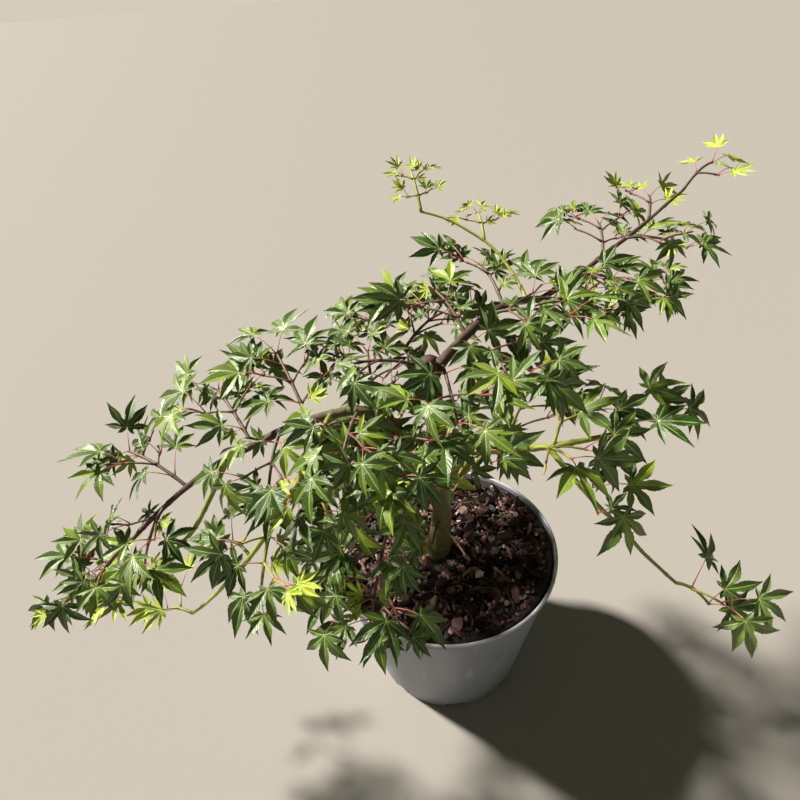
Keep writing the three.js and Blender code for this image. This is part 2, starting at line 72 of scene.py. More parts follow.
scene = bpy.context.scene
camera_forward = Vector((0, math.cos(CAMERA_PITCH), -math.sin(CAMERA_PITCH)))
camera_level = Vector((1, 0, 0))
camera_upright = camera_level.cross(camera_forward)
camera_right = camera_level * math.cos(CAMERA_ROLL) + camera_upright * math.sin(CAMERA_ROLL)
camera_up = camera_upright * math.cos(CAMERA_ROLL) - camera_level * math.sin(CAMERA_ROLL)
camera_data = bpy.data.cameras.new("photo_camera")
camera_data.sensor_width = SENSOR_WIDTH
camera_data.lens = FOCAL_PIXELS / PHOTO_SIDE * SENSOR_WIDTH


def placed(name, data):
    """A new object in the scene."""
    made = bpy.data.objects.new(name, data)
    scene.collection.objects.link(made)
    return made


scene.camera = placed("photo_camera", camera_data)
turned = Matrix((camera_right, camera_up, -camera_forward)).transposed().to_4x4()
scene.camera.matrix_world = Matrix.Translation(CAMERA_SPOT) @ turned
print("camera lens in mm:", round(camera_data.lens, 2))

# %% [markdown]
# ## Node trees in one line each
# Every finish and every scatter below is a node tree. Adding nodes one by one takes many lines, so
# one helper adds a node, sets its options and fills its sockets, either with a value or with a
# link from another node. A node that gets a link joins the tree that the link comes from.

# %% Node helpers
MIX_COLOURS, MIX_RESULT = (6, 7), 2  # the sockets of a Mix node that hold colours


def is_link(value):
    return isinstance(value, bpy.types.NodeSocket)


def add_node(kind, sockets, tree=None, out=0, **options):
    """Adds a node and returns one of its outputs. sockets maps an input's name or number to a
    value or to another node's output."""
    tree = tree or next(value.id_data for value in sockets.values() if is_link(value))
    node = tree.nodes.new(kind)
    for option, value in options.items():
        setattr(node, option, value)
    for key, value in sockets.items():
        if is_link(value):
            tree.links.new(value, node.inputs[key])
        else:
            node.inputs[key].default_value = value
    return node.outputs[out]


def add_math(operation, first, second=0.0):
    return add_node("ShaderNodeMath", {0: first, 1: second}, operation=operation)


plus, minus, times = (partial(add_math, kind) for kind in ("ADD", "SUBTRACT", "MULTIPLY"))


def ranged(value, *limits, **options):
    """Moves a value to another range: from least, from most, to least, to most."""
    return add_node("ShaderNodeMapRange", dict(enumerate((value, *limits))), **options)


def add_ramp(factor, stops):
    """A colour ramp from a list of (position, (red, green, blue))."""
    colours = add_node("ShaderNodeValToRGB", {0: factor})
    elements = colours.node.color_ramp.elements
    while len(elements) < len(stops):
        elements.new(0.5)
    for element, (position, colour) in zip(elements, stops):
        element.position = position
        element.color = (*colour, 1)
    return colours


def add_mix(factor, first, second, blend="MIX"):
    """Mixes two colours; each is a link or (red, green, blue)."""
    sockets = {0: factor}
    for key, colour in zip(MIX_COLOURS, (first, second)):
        sockets[key] = colour if is_link(colour) else (*colour, 1)
    return add_node("ShaderNodeMix", sockets, out=MIX_RESULT, data_type="RGBA", blend_type=blend)


def object_place(tree, stretch=(1, 1, 1)):
    """Where a point is on its object in metres, stretched along each axis."""
    place = add_node("ShaderNodeTexCoord", {}, tree, "Object")
    return add_node("ShaderNodeMapping", {"Vector": place, "Scale": stretch})


def add_noise(tree, scale, detail=2.0, roughness=0.5, stretch=(1, 1, 1)):
    sockets = {"Vector": object_place(tree, stretch), "Scale": scale, "Detail": detail,
               "Roughness": roughness}
    return add_node("ShaderNodeTexNoise", sockets)


def read_attribute(tree, name):
    return add_node("ShaderNodeAttribute", {}, tree, "Fac", attribute_name=name)


def new_finish(name, roughness, specular=0.5):
    """A material, its node tree and its shader, with plain values on the shader's own sockets."""
    finish = bpy.data.materials.new(name)
    finish.use_nodes = True
    shader = finish.node_tree.nodes["Principled BSDF"]
    shader.inputs["Roughness"].default_value = roughness
    shader.inputs["Specular IOR Level"].default_value = specular
    return finish, finish.node_tree, shader


def paint(shader, colour, height, distance, strength):
    """Gives a shader its colour, and bumps of a height."""
    sockets = {"Height": height, "Distance": distance, "Strength": strength}
    bump = add_node("ShaderNodeBump", sockets)
    for key, link in (("Base Color", colour), ("Normal", bump)):
        shader.id_data.links.new(link, shader.inputs[key])


print("node helpers ready")

# %% [markdown]
# ## Floor and light
# In the photo low sunlight comes from the left and a little from behind, and it glances off the
# leaves. A bare point of light would give that direction but hard black shadows, and an area lamp
# lights only a patch of the floor. A sun lamp with a wide disc and a weak lamp near the camera keep
# the direction and the glance, stay soft and light the floor evenly. The room round them looks
# pale behind the plant, but it lights the plant only a little, so that the shade stays deep.

# %% Floor and lights
FLOOR_SIDE = 400.0
FLOOR_COLOUR = (0.285, 0.266, 0.240)
SUN_WAY = Vector((-1.7, 0.9, 1.9))  # from the plant to the lamp
SUN_SOFTNESS = math.radians(5)
SUN_STRENGTH = 9.5
FILL_WAY = Vector((0.9, -1.8, 1.6))
FILL_STRENGTH, FILL_SIZE = 3.5, 1.6
AIM = Vector((0.0, 0.0, 0.32))


def aimed_lamp(name, kind, way, power, colour):
    """A lamp that stands off from the plant along a way and shines back at it."""
    lamp_data = bpy.data.lights.new(name, kind)
    lamp_data.energy = power
    lamp_data.color = colour
    lamp = placed(name, lamp_data)
    lamp.location = AIM + way
    lamp.rotation_euler = (-way).to_track_quat("-Z", "Y").to_euler()
    return lamp_data


floor_mesh = bpy.data.meshes.new("floor")
square = [(-0.5, -0.5), (0.5, -0.5), (0.5, 0.5), (-0.5, 0.5)]
floor_mesh.from_pydata([(x * FLOOR_SIDE, y * FLOOR_SIDE, 0) for x, y in square], [], [(0, 1, 2, 3)])
floor_finish, _, shader = new_finish("pale_floor", 0.9, 0.15)
shader.inputs["Base Color"].default_value = (*FLOOR_COLOUR, 1)
floor_mesh.materials.append(floor_finish)
placed("floor", floor_mesh)

aimed_lamp("key_lamp", "SUN", SUN_WAY, SUN_STRENGTH, (1.0, 0.95, 0.88)).angle = SUN_SOFTNESS
fill_lamp = aimed_lamp("fill_lamp", "AREA", FILL_WAY, FILL_STRENGTH, (0.95, 0.98, 1.0))
fill_lamp.shape = "DISK"
fill_lamp.size = FILL_SIZE
scene.world = bpy.data.worlds.new("pale_surrounding")
scene.world.use_nodes = True
sky = scene.world.node_tree
way = add_node("ShaderNodeTexCoord", {}, sky, "Generated")
upward = add_node("ShaderNodeSeparateXYZ", {0: way}, out=2)
dim_room = add_ramp(upward, [(0.0, (0.42, 0.39, 0.32)), (0.05, (0.22, 0.21, 0.15)),
                             (0.35, (0.088, 0.090, 0.054)), (1.0, (0.078, 0.083, 0.054))])
pale_wall = add_ramp(upward, [(0.0, (0.67, 0.60, 0.49)), (0.5, (0.54, 0.50, 0.44))])
is_seen = add_node("ShaderNodeLightPath", {}, sky, "Is Camera Ray")
sky.links.new(add_mix(is_seen, dim_room, pale_wall), sky.nodes["Background"].inputs["Color"])
scene.view_settings.view_transform = "Standard"

# %% [markdown]
# ## Meshes from arrays
# The plant has hundreds of leaves and twigs. One object each would be slow and hard to handle, so
# all leaves of a kind, and all wood of a kind, are collected in arrays and become one mesh. A
# bundle holds the points, the polygons and what each point has to tell its finish.

# %% Bundles of polygons
class Bundle:
    """Points in millimetres, polygons, and named values that go with each point."""

    def __init__(self):
        self.chunks = []
        self.count = 0

    def add(self, points, corners, sizes, **values):
        self.keys = list(values)
        shown = [np.broadcast_to(value, len(points)) for value in values.values()]
        self.chunks.append((points, corners + self.count, sizes, *shown))
        self.count += len(points)

    def mesh(self, name, finishes, smooth=True, finish_index=None):
        points, corners, sizes, *shown = (np.concatenate(part) for part in zip(*self.chunks))
        mesh = bpy.data.meshes.new(name)
        mesh.vertices.add(len(points))
        mesh.vertices.foreach_set("co", (points * MM).astype(np.float32).ravel())
        mesh.loops.add(len(corners))
        mesh.loops.foreach_set("vertex_index", corners.astype(np.int32))
        mesh.polygons.add(len(sizes))
        mesh.polygons.foreach_set("loop_start", (np.cumsum(sizes) - sizes).astype(np.int32))
        mesh.polygons.foreach_set("use_smooth", np.full(len(sizes), smooth))
        if finish_index is not None:
            mesh.polygons.foreach_set("material_index", finish_index.astype(np.int32))
        mesh.update(calc_edges=True)
        for key, values in zip(self.keys, shown):
            attribute = mesh.attributes.new(key, "FLOAT", "POINT")
            attribute.data.foreach_set("value", values.astype(np.float32))
        for finish in finishes:
            mesh.materials.append(finish)
        return mesh


def show_piece(name, mesh, nodes):
    """A finished piece: it rides on the plant's body and stands for CAD nodes."""
    piece = placed(name, mesh)
    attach(piece, "root")
    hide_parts(*nodes)
    triangles = len(mesh.loops) - 2 * len(mesh.polygons)
    print(f"{name}: {triangles} triangles, stands for {len(nodes)} nodes")


def show_bundle(name, bundle, finish, nodes):
    show_piece(name, bundle.mesh(name, [finish]), nodes)


# %% [markdown]
# ## Tubes
# Trunk, boughs, twigs and petioles are all round bars along a bent line. Blender's curves with a
# bevel could draw them, but then the bark's ridges and the swellings at the joints could not be
# part of the shape. So each is a stack of rings, and each ring may have its own radius at each
# angle. The rings are carried along the line without twisting.

# %% Tube helpers
def unit(vectors):
    vectors = np.asarray(vectors, float)
    return vectors / np.linalg.norm(vectors, axis=-1, keepdims=True)


def round_angles(sides):
    return np.arange(sides) * 2 * math.pi / sides


def ring_quads(rings, sides):
    """The polygons between rings of points, as the numbers of their corners."""
    here = np.arange((rings - 1) * sides).reshape(-1, sides)
    after = np.roll(here, -1, axis=1)
    return np.stack([here, after, after + sides, here + sides], -1).reshape(-1, 4)


def shell(points, *polygons):
    """Points and arrays of polygons, in the way that a bundle takes them."""
    corners = np.concatenate([np.ravel(array) for array in polygons])
    sizes = np.concatenate([np.full(len(array), len(array[0])) for array in polygons])
    return points, corners, sizes


def carried_frames(path):
    """Two directions across a line at each of its points."""
    directions = unit(np.gradient(path, axis=0))
    aside = np.cross(directions[0], (0.0, 0.0, 1.0))
    if np.linalg.norm(aside) < 0.3:
        aside = np.cross(directions[0], (0.0, 1.0, 0.0))
    across = []
    for direction in directions:
        aside = unit(aside - direction * aside.dot(direction))
        across.append(aside)
    return np.array(across), np.cross(directions, across)


def tube(path, radii, sides):
    """A closed tube along a line. radii has one number for each ring, or one for each point."""
    path, radii = np.asarray(path, float), np.asarray(radii, float)
    rings = len(path)
    angles = round_angles(sides)[:, None]
    across, upward = carried_frames(path)
    radii = np.broadcast_to(radii.reshape(rings, -1) if radii.ndim else radii, (rings, sides))
    outward = across[:, None] * np.cos(angles) + upward[:, None] * np.sin(angles)
    points = (path[:, None] + outward * radii[..., None]).reshape(-1, 3)
    first_end = np.arange(sides)
    ends = first_end[::-1], (rings - 1) * sides + first_end
    return shell(points, ring_quads(rings, sides), ends)


print("a short tube has", len(tube([[0, 0, 0], [0, 0, 1]], [1, 1], 6)[2]), "polygons")

# %% [markdown]
# ## The plant's growth rule
# The part's source grows the plant by a rule: each bough leaves its parent at a share of its
# length with a heading, a reach and a rise, and each mass of foliage is a stem that branches into
# twigs with pairs of leaves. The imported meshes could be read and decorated, but a leaf's own
# directions are lost in them. So the rule and its numbers are written here again, with the same
# random draws, and each leaf comes out where the part has it.

# %% Numbers of the growth rule
MULCH_LEVEL = 191
GAP = 0.3
TRUNK_FOOT = np.array([-8, 1, MULCH_LEVEL + GAP])
TRUNK_TOP = np.array([-10, 7, 462.0])
TRUNK_BOW = np.array([8.0, -5, 0])
TRUNK_GIRTH = (25, 13)
STEM_GIRTH = (4.2, 2.8)
TWIG_GIRTH = (2.6, 2.4)
PETIOLE_GIRTH = 1.8
NODE_HALF = 1.5
STEM_ARCH = 7
INTERNODE = 22
FIRST_PAIR = 0.75
TWIG_CHANCE = 0.72
TWIG_TURN = (38, 18)  # least, spread
TWIG_REACH = (0.75, 0.45)
TWIG_CLIMB = (-0.24, 0.6)
LEAF_TURN = (40, 28)
TIP_TURN = 0.6
PETIOLE_REACH = (0.55, 0.4)
PETIOLE_CLIMB = (5, 30)
LEAF_SIZE = (0.86, 0.32)
TIP_LEAVES = 0.82
STAR_ANGLES = np.radians([-88, -66, -44, -22, 0, 22, 44, 66, 88])
STAR_SHARES = np.array([0.66, 0.3, 0.92, 0.3, 1, 0.3, 0.92, 0.3, 0.66])
LOBE_DROOP = 0.3
LIGHT_WAY = unit([-0.08, -0.5, 1])
FACE_SCATTER = np.array([1.2, 1.2, 0.5])
FACE_OUTWARD = 0.14
BLADE_TWIST = 50
TRIES = 10
GROUND_CLEARANCE = 12
OPENING_FOOT = np.array([57, -26, MULCH_LEVEL])
OPENING_AXIS = unit([-0.108, -0.625, 0.774])
OPENING_RADIUS = 66
WOOD_SPACE = 0.5  # room kept round wood
BLADE_SPACE = 1.02  # and round a blade, as a share of its length
BLADE_HALF = 2
FIRST_SEED = 983
SEED_STEP = 17

# Each bough: parent, at, heading, reach, rise, arch, sway, girth, tip girth, leaf, masses.
# Each mass: at, turn, reach, rise.
BOUGHS = {
    "left_leader": ("trunk", 0.28, -172, 92, 157, 44, 6, 13.5, 10, 40, [
        (0.3, -75, 60, 26), (0.52, 88, 76, 6), (0.7, -88, 74, 34), (0.88, 80, 80, -14)]),
    "left_bough": ("left_leader", 1, -169, 237, -109, 28, 2, 10, 4.2, 38, [
        (0.16, -78, 86, 34), (0.28, 66, 50, -30), (0.4, -70, 88, 18), (0.7, -44, 84, 14),
        (0.82, 52, 44, -40), (1, 8, 62, -62)]),
    "left_hanger": ("left_bough", 0.07, -165, 190, -226, 13, 44, 7, 3.2, 34, [
        (0.2, 75, 52, -14), (0.4, 52, 56, -40), (0.56, -60, 46, -18), (1, 0, 48, -22)]),
    "left_drooper": ("left_bough", 0.52, -157, 96, -102, -5, 13, 5.6, 3.2, 30, [(1, 12, 48, -44)]),
    "front_bough": ("trunk", 0.485, -128, 95, 10, 22, 0, 8.5, 4.5, 42, [
        (0.34, -65, 86, -26), (0.5, 52, 56, 28), (0.78, -50, 66, -56), (1, 14, 66, -76)]),
    "right_bough": ("trunk", 0.93, 40, 177, 18, 22, 2, 10.5, 7.6, 37, [
        (0.09, -126, 70, -26), (0.22, -72, 80, -14), (0.3, 72, 64, 24), (0.55, -60, 78, 2),
        (0.64, 62, 70, 20), (0.9, -55, 84, -10)]),
    "right_outer": ("right_bough", 1, 30, 225, 74, -12, 6, 7.4, 3.2, 34, [
        (0.78, 44, 46, 14), (0.28, -55, 84, -18), (0.46, 48, 60, 18), (0.62, -48, 70, -10),
        (1, 0, 44, 26)]),
    "right_low": ("trunk", 0.61, -9, 175, 22, 2, -15, 9.5, 5, 44, [
        (0.21, -64, 62, 34), (0.38, 70, 62, 32), (0.66, 60, 44, 28), (0.55, -50, 48, 16),
        (1, 8, 52, 2)]),
    "right_drooper": ("right_low", 0.63, -36, 145, -120, 11, -16, 5.6, 3.2, 46, [
        (0.25, -30, 42, -4), (1, 0, 38, -30)]),
    "top_shoot": ("right_bough", 0.86, 137, 145, 75, 8, -24, 4, 2.6, 20, [
        (0.5, -45, 44, 18), (1, -70, 46, 36)]),
    "back_bough": ("trunk", 0.84, 112, 112, 14, 16, 0, 8.5, 4.5, 38, [
        (0.34, 70, 80, 6), (0.6, -62, 74, 10), (1, 0, 78, -12)]),
}
TRUNK_LEAF = 38
TRUNK_MASSES = [(0.2, -108, 46, 8), (0.35, 62, 98, 8), (0.485, 128, 92, 2)]
GREEN_BOUGHS = ("left_hanger", "left_drooper", "right_low", "right_drooper", "top_shoot")
YOUNG_LEAF = 30
mass_count = len(TRUNK_MASSES) + sum(len(bough[-1]) for bough in BOUGHS.values())
print(len(BOUGHS), "boughs and", mass_count, "masses")

# %% Curves and random draws
def seeded(seed):
    """The source's own repeatable random numbers from 0 to 1."""
    state, bits = seed, 0xFFFFFFFF

    def draw():
        nonlocal state
        state = (state + 0x6D2B79F5) & bits
        mixed = ((state ^ (state >> 15)) * (state | 1)) & bits
        mixed ^= (mixed + (((mixed ^ (mixed >> 7)) * (mixed | 61)) & bits)) & bits
        return ((mixed ^ (mixed >> 14)) & bits) / (bits + 1)

    return draw


def drawn(span, draw):
    return span[0] + span[1] * draw()


def lerp(first, last, share):
    return first + (last - first) * share


def along(degrees):
    return np.array([math.cos(math.radians(degrees)), math.sin(math.radians(degrees)), 0.0])


def heading_of(vector):
    return math.degrees(math.atan2(vector[1], vector[0]))


class Bend:
    """A quadratic curve from a start past a control point to an end."""

    def __init__(self, start, control, end):
        self.start, self.control, self.end = start, control, end

    def at(self, share):
        share = np.asarray(share, float)[..., None]
        return ((1 - share) ** 2 * self.start + 2 * share * (1 - share) * self.control
                + share ** 2 * self.end)

    def direction(self, share):
        return unit((1 - share) * (self.control - self.start) + share * (self.end - self.control))

    def length(self):
        return np.linalg.norm(np.diff(self.at(np.linspace(0, 1, 201)), axis=0), axis=1).sum()


def grown_bend(start, heading, reach, rise, arch, sway):
    end = start + along(heading) * reach + (0, 0, rise)
    control = (start + end) / 2 + along(heading + 90) * 2 * sway + (0, 0, 2 * arch)
    return Bend(start, control, end)


bends = {"trunk": Bend(TRUNK_FOOT, (TRUNK_FOOT + TRUNK_TOP) / 2 + 2 * TRUNK_BOW, TRUNK_TOP)}
for name, (parent, at, *shape, _, _, _, _) in BOUGHS.items():
    bends[name] = grown_bend(bends[parent].at(at), *shape)
print({name: round(float(bend.length())) for name, bend in bends.items()})

# %% [markdown]
# ## Keeping leaves apart
# On the real plant leaves brush past each other and past the boughs, but none passes through
# another. The source tests solids against each other. Here the same closed shapes go into
# Blender's bounding trees, which tell at once if two surfaces cross. A leaf that would cross
# something is turned and tried again, and after ten tries its place stays empty.

# %% The space that is taken
SPACE_ROOM = 8000


class Space:
    """What is already there: the surface, its box, whose it is, and if it is a blade."""

    def __init__(self):
        self.trees = []
        self.low, self.high = np.zeros((2, SPACE_ROOM, 3))
        self.owner = np.full(SPACE_ROOM, -1)
        self.blade = np.zeros(SPACE_ROOM, bool)

    def add(self, entry):
        i = len(self.trees)
        tree, self.low[i], self.high[i], self.owner[i], self.blade[i] = entry
        self.trees.append(tree)

    def is_free(self, entry):
        tree, low, high, owner, blade = entry
        count = len(self.trees)
        near = np.all((self.low[:count] <= high) & (self.high[:count] >= low), axis=1)
        if not blade:
            near &= (self.owner[:count] != owner) | self.blade[:count]
        return not any(self.trees[i].overlap(tree) for i in np.nonzero(near)[0])

    def takes(self, *entries):
        """Adds the entries if there is room for all of them."""
        has_room = all(self.is_free(entry) for entry in entries)
        for entry in entries if has_room else ():
            self.add(entry)
        return has_room


def entry_of(points, polygons, owner, blade=False):
    tree = BVHTree.FromPolygons(points.tolist(), polygons)
    return tree, points.min(axis=0), points.max(axis=0), owner, blade


def tube_polygons(sides, rings):
    ends = [list(range(sides)), list(range((rings - 1) * sides, rings * sides))]
    return ring_quads(rings, sides).tolist() + ends


ROD = tube_polygons(6, 2)
STEM_TUBE = tube_polygons(6, 5)
STAR = [face for i in range(10) for face in ((10, i, (i + 1) % 10), (11, (i + 1) % 10, i))]


def rod_entry(start, end, girth, owner):
    return entry_of(tube([start, end], girth / 2 + WOOD_SPACE, 6)[0], ROD, owner)


space = Space()
for node_name in ("pot", "bark_mulch", *bends):
    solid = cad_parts[node_name].data
    points = np.array([vertex.co for vertex in solid.vertices], float) / MM
    space.add(entry_of(points, [tuple(p.vertices) for p in solid.polygons], -1))
print(len(space.trees), "solid pieces hold their space")

# %% Leaves and their places
class Leaf:
    """A leaf on a petiole that leaves its root at a heading. Its blade faces the light."""

    def __init__(self, root, heading, size, draw, petiole_share=1.0):
        climb = math.radians(drawn(PETIOLE_CLIMB, draw))
        petiole = size * drawn(PETIOLE_REACH, draw) * petiole_share
        self.root = root
        self.base = root + along(heading) * math.cos(climb) * petiole
        self.base[2] += math.sin(climb) * petiole
        self.length = size * drawn(LEAF_SIZE, draw)
        scatter = np.array([draw() - 0.5, draw() - 0.5, draw() - 0.5]) * FACE_SCATTER
        self.face = unit(scatter + along(heading) * FACE_OUTWARD + LIGHT_WAY)
        axis = along(heading + BLADE_TWIST * (draw() - 0.5))
        self.axis = unit(axis - self.face * axis.dot(self.face))
        self.side = np.cross(self.face, self.axis)

    def blade_points(self, angles, shares):
        shares = shares[:, None] * self.length
        droop = -LOBE_DROOP * shares ** 2 / self.length
        return (self.base + self.axis * np.cos(angles)[:, None] * shares
                + self.side * np.sin(angles)[:, None] * shares + self.face * droop)

    def tips(self):
        return self.blade_points(STAR_ANGLES[::2], STAR_SHARES[::2])

    def is_in_place(self):
        tips = self.tips()
        from_foot = tips - OPENING_FOOT
        up = from_foot @ OPENING_AXIS
        aside = np.linalg.norm(from_foot - up[:, None] * OPENING_AXIS, axis=1)
        is_outside = (up < 0) | (aside > OPENING_RADIUS)
        return bool(np.all((tips[:, 2] > GROUND_CLEARANCE) & is_outside))

    def entries(self, owner):
        star = self.blade_points(STAR_ANGLES, STAR_SHARES * BLADE_SPACE)
        points = np.vstack([star, self.base - self.axis * BLADE_HALF,
                            self.base + self.face * BLADE_HALF, self.base - self.face * BLADE_HALF])
        petiole = rod_entry(self.root, self.base, PETIOLE_GIRTH, owner)
        return petiole, entry_of(points, STAR, owner, True)


class Mass:
    """One stem with its twigs and leaves."""

    def __init__(self, index, bough, order, leaf_size, at, turn, reach, rise):
        self.index, self.bough, self.name = index, bough, f"{bough}_foliage_{order + 1}"
        heading = turn if bough == "trunk" else heading_of(bends[bough].direction(at)) + turn
        self.bend = grown_bend(bends[bough].at(at), heading, reach, rise, STEM_ARCH, 0)
        self.leaf_size = leaf_size * lerp(1, TIP_LEAVES, at)
        self.young = self.leaf_size < YOUNG_LEAF
        self.seed = FIRST_SEED + SEED_STEP * index
        self.pairs = max(2, round(math.hypot(reach, rise) / INTERNODE))
        self.leaves, self.twigs, self.joints = [], [], []


masses = []
for bough, leaf_size, places in [("trunk", TRUNK_LEAF, TRUNK_MASSES),
                                 *((name, *numbers[-2:]) for name, numbers in BOUGHS.items())]:
    for order, place in enumerate(places):
        masses.append(Mass(len(masses), bough, order, leaf_size, *place))
for mass in masses:
    shares = np.linspace(0, 1, 5)
    girths = lerp(*STEM_GIRTH, shares) / 2 + WOOD_SPACE
    space.add(entry_of(tube(mass.bend.at(shares), girths, 6)[0], STEM_TUBE, mass.index))
print(len(masses), "masses, first", masses[0].name, "and last", masses[-1].name)

# %% Grow the masses
THIRDS = (0, 2 * math.pi / 3, 4 * math.pi / 3)


def facet_centres(centre, direction, girth):
    """The middles of the right and the left facet of a joint on three-sided wood."""
    top = unit(np.array([0, 0, 1.0]) - direction * direction[2])
    right = np.cross(direction, top)
    spokes = [math.cos(angle) * top + math.sin(angle) * right for angle in THIRDS]
    before, after = ([centre + direction * shift + spoke * girth / 2 for spoke in spokes]
                     for shift in (-NODE_HALF, NODE_HALF))
    return (before[0] + before[1] + after[1]) / 3, (before[2] + before[0] + after[0]) / 3


def grow_leaf(mass, root, heading, spread, size=1.0, petiole_share=1.0):
    for _ in range(TRIES):
        turn = spread * drawn(LEAF_TURN, mass.draw)
        leaf = Leaf(root, heading + turn, mass.leaf_size * size, mass.draw, petiole_share)
        if leaf.is_in_place() and space.takes(*leaf.entries(mass.index)):
            leaf.young = mass.young
            mass.leaves.append(leaf)
            return leaf
    return None


def grow_shoot(mass, root, heading, reach, climb, girth):
    """A twig without leaves, where there is room for it. Returns its end."""
    end = root + along(heading) * reach
    end[2] += reach * drawn(climb, mass.draw)
    if not space.takes(rod_entry(root, end, girth, mass.index)):
        return None
    mass.twigs.append((root, end))
    return end


def grow_twig(mass, root, heading, side):
    for _ in range(TRIES):
        turned = heading + side * drawn(TWIG_TURN, mass.draw)
        reach = mass.leaf_size * drawn(TWIG_REACH, mass.draw)
        end = grow_shoot(mass, root, turned, reach, TWIG_CLIMB, TWIG_GIRTH[1])
        if end is not None:
            direction = unit(end - root)
            right, left = facet_centres(end - direction * NODE_HALF, direction, TWIG_GIRTH[1])
            grow_leaf(mass, right, turned, -TIP_TURN)
            grow_leaf(mass, left, turned, TIP_TURN)
            return


def grow_mass(mass):
    mass.draw = seeded(mass.seed)
    half = NODE_HALF / mass.bend.length()
    for pair in range(1, mass.pairs + 1):
        share = min((pair - 1 + FIRST_PAIR) / (mass.pairs - 1 + FIRST_PAIR), 1 - half)
        mass.joints.append(share)
        direction = mass.bend.direction(share)
        heading = heading_of(direction)
        roots = facet_centres(mass.bend.at(share), direction, lerp(*STEM_GIRTH, share))
        for root, side in zip(roots, (-1, 1)):
            if pair == mass.pairs:
                grow_leaf(mass, root, heading, side * TIP_TURN)
            elif mass.draw() < TWIG_CHANCE:
                grow_twig(mass, root, heading, side)
            else:
                grow_leaf(mass, root, heading, side)


def growth():
    return {kind: sum(len(getattr(m, kind)) for m in masses) for kind in ("leaves", "twigs")}


for mass in masses:
    grow_mass(mass)
print(growth())

# %% [markdown]
# ## Finer twigs
# Between the large leaves the real plant has young growth: each twig ends in a thin shoot with a
# pair of small leaves, and small leaves sit in the joints of the stem. The same rule goes one step
# further here, with shorter petioles and smaller leaves. They are grown after all the large ones
# and keep to the room that those leave, in the box of their own mass or just past it.

# %% Grow the finer twigs
FINE_SEED = 50000
FINE_REACH = (0.32, 0.3)
FINE_CLIMB = (-0.1, 0.5)
FINE_GIRTH = TWIG_GIRTH[1] * 0.7
FINE_LEAF = (0.5, 0.25)
FINE_PETIOLE = 0.6
JOINT_LEAF_CHANCE = 0.75
JOINT_LEAF_SPREAD = 1.4
FINE_BEND = 30
ROOM_AROUND = 8.0
FULLNESS = {  # how much of the finer growth a bough has: the outer ones are open in the photo
    "right_low": 0.3, "right_drooper": 0.25, "left_hanger": 0.45, "right_outer": 0.6,
    "left_bough": 0.7, "top_shoot": 1.0, "front_bough": 1.3,
}
USUAL_FULLNESS = 0.85
FRESH_SHARE = {  # how much of it is lime green new growth
    "left_hanger": 1.0, "left_drooper": 1.0, "right_low": 0.4, "left_bough": 0.45,
    "front_bough": 0.35,
}
USUAL_FRESH_SHARE = 0.2


def grow_fine_leaf(mass, root, heading, spread):
    """A small leaf that keeps to its mass's own box and a little round it."""
    kept, room = len(mass.leaves), len(space.trees)
    leaf = grow_leaf(mass, root, heading, spread, drawn(FINE_LEAF, mass.draw), FINE_PETIOLE)
    is_fresh = mass.draw() < FRESH_SHARE.get(mass.bough, USUAL_FRESH_SHARE)
    if leaf is not None:
        leaf.young = mass.young or is_fresh
        tips = leaf.tips()
        if not np.all((tips > mass.low - ROOM_AROUND) & (tips < mass.high + ROOM_AROUND)):
            del mass.leaves[kept:]
            del space.trees[room:]


def grow_fine_twigs(mass):
    draw = mass.draw = seeded(mass.seed + FINE_SEED)
    fullness = FULLNESS.get(mass.bough, USUAL_FULLNESS)
    for root, end in list(mass.twigs):
        if draw() > fullness:
            continue
        heading = heading_of(end - root) + FINE_BEND * (draw() - 0.5)
        reach = mass.leaf_size * drawn(FINE_REACH, draw)
        tip = grow_shoot(mass, end, heading, reach, FINE_CLIMB, FINE_GIRTH)
        if tip is not None:
            for side in (-1, 1):
                grow_fine_leaf(mass, tip, heading, side * TIP_TURN)
    for share in mass.joints:
        centre, heading = mass.bend.at(share), heading_of(mass.bend.direction(share))
        for side in (-1, 1):
            if draw() < JOINT_LEAF_CHANCE * fullness:
                grow_fine_leaf(mass, centre, heading, side * JOINT_LEAF_SPREAD)


for mass in masses:
    mass.low, mass.high = (np.array(corner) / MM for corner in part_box(mass.name))
    grow_fine_twigs(mass)
print(growth())

# %% [markdown]
# ## The leaf's shape
# A leaf of this maple has five long lobes and two small ones at the petiole. Each lobe is a narrow
# ellipse with a drawn-out tip and a finely toothed edge. It is folded along its midrib, rolled a
# little to one side, and its end hangs. A picture of a leaf on a flat card would be quick, but it
# has no fold and no edge. So the blade is a thin closed shell in its own outline, with four
# polygons for each half of a lobe on either side. Several slightly different blades are made, and
# each leaf takes one of them.

# %% Blade templates
LOBES = [(-124, 0.30), (-83, 0.68), (-42, 0.93), (0, 1.0), (42, 0.93), (83, 0.68), (124, 0.30)]
SMALL_LOBE = 0.4
SINUS = 0.255
TEETH = [(0.32, 0.107), (0.42, 0.140), (0.53, 0.146), (0.65, 0.119), (0.77, 0.075), (0.89, 0.030)]
NOTCH = (0.008, -0.012)  # from a tooth's tip to the notch behind it
RIB_STOPS = [(0.27, 0), (0.52, 4), (0.76, 8)]  # share, and which edge point it is joined to
SMALL_EDGE = (0.6, 0.2)
FOLD = 0.30
RIB_GROOVE = 0.012
BLADE_THICKNESS = 0.012
GROWN_SHAPE = (1.0, 1.0, 1.0)  # spread of the lobes, their width, how far they hang
YOUNG_SHAPE = (0.78, 0.76, -0.3)
GROWN_TEMPLATES = 10
YOUNG_TEMPLATES = 6


def lobe_edge(width):
    """The edge of one side of a lobe as (share, half width), saw-toothed."""
    edge = []
    for share, half_width in TEETH:
        edge += [(share, half_width * width), (share + NOTCH[0], half_width * width + NOTCH[1])]
    return edge[:-1]


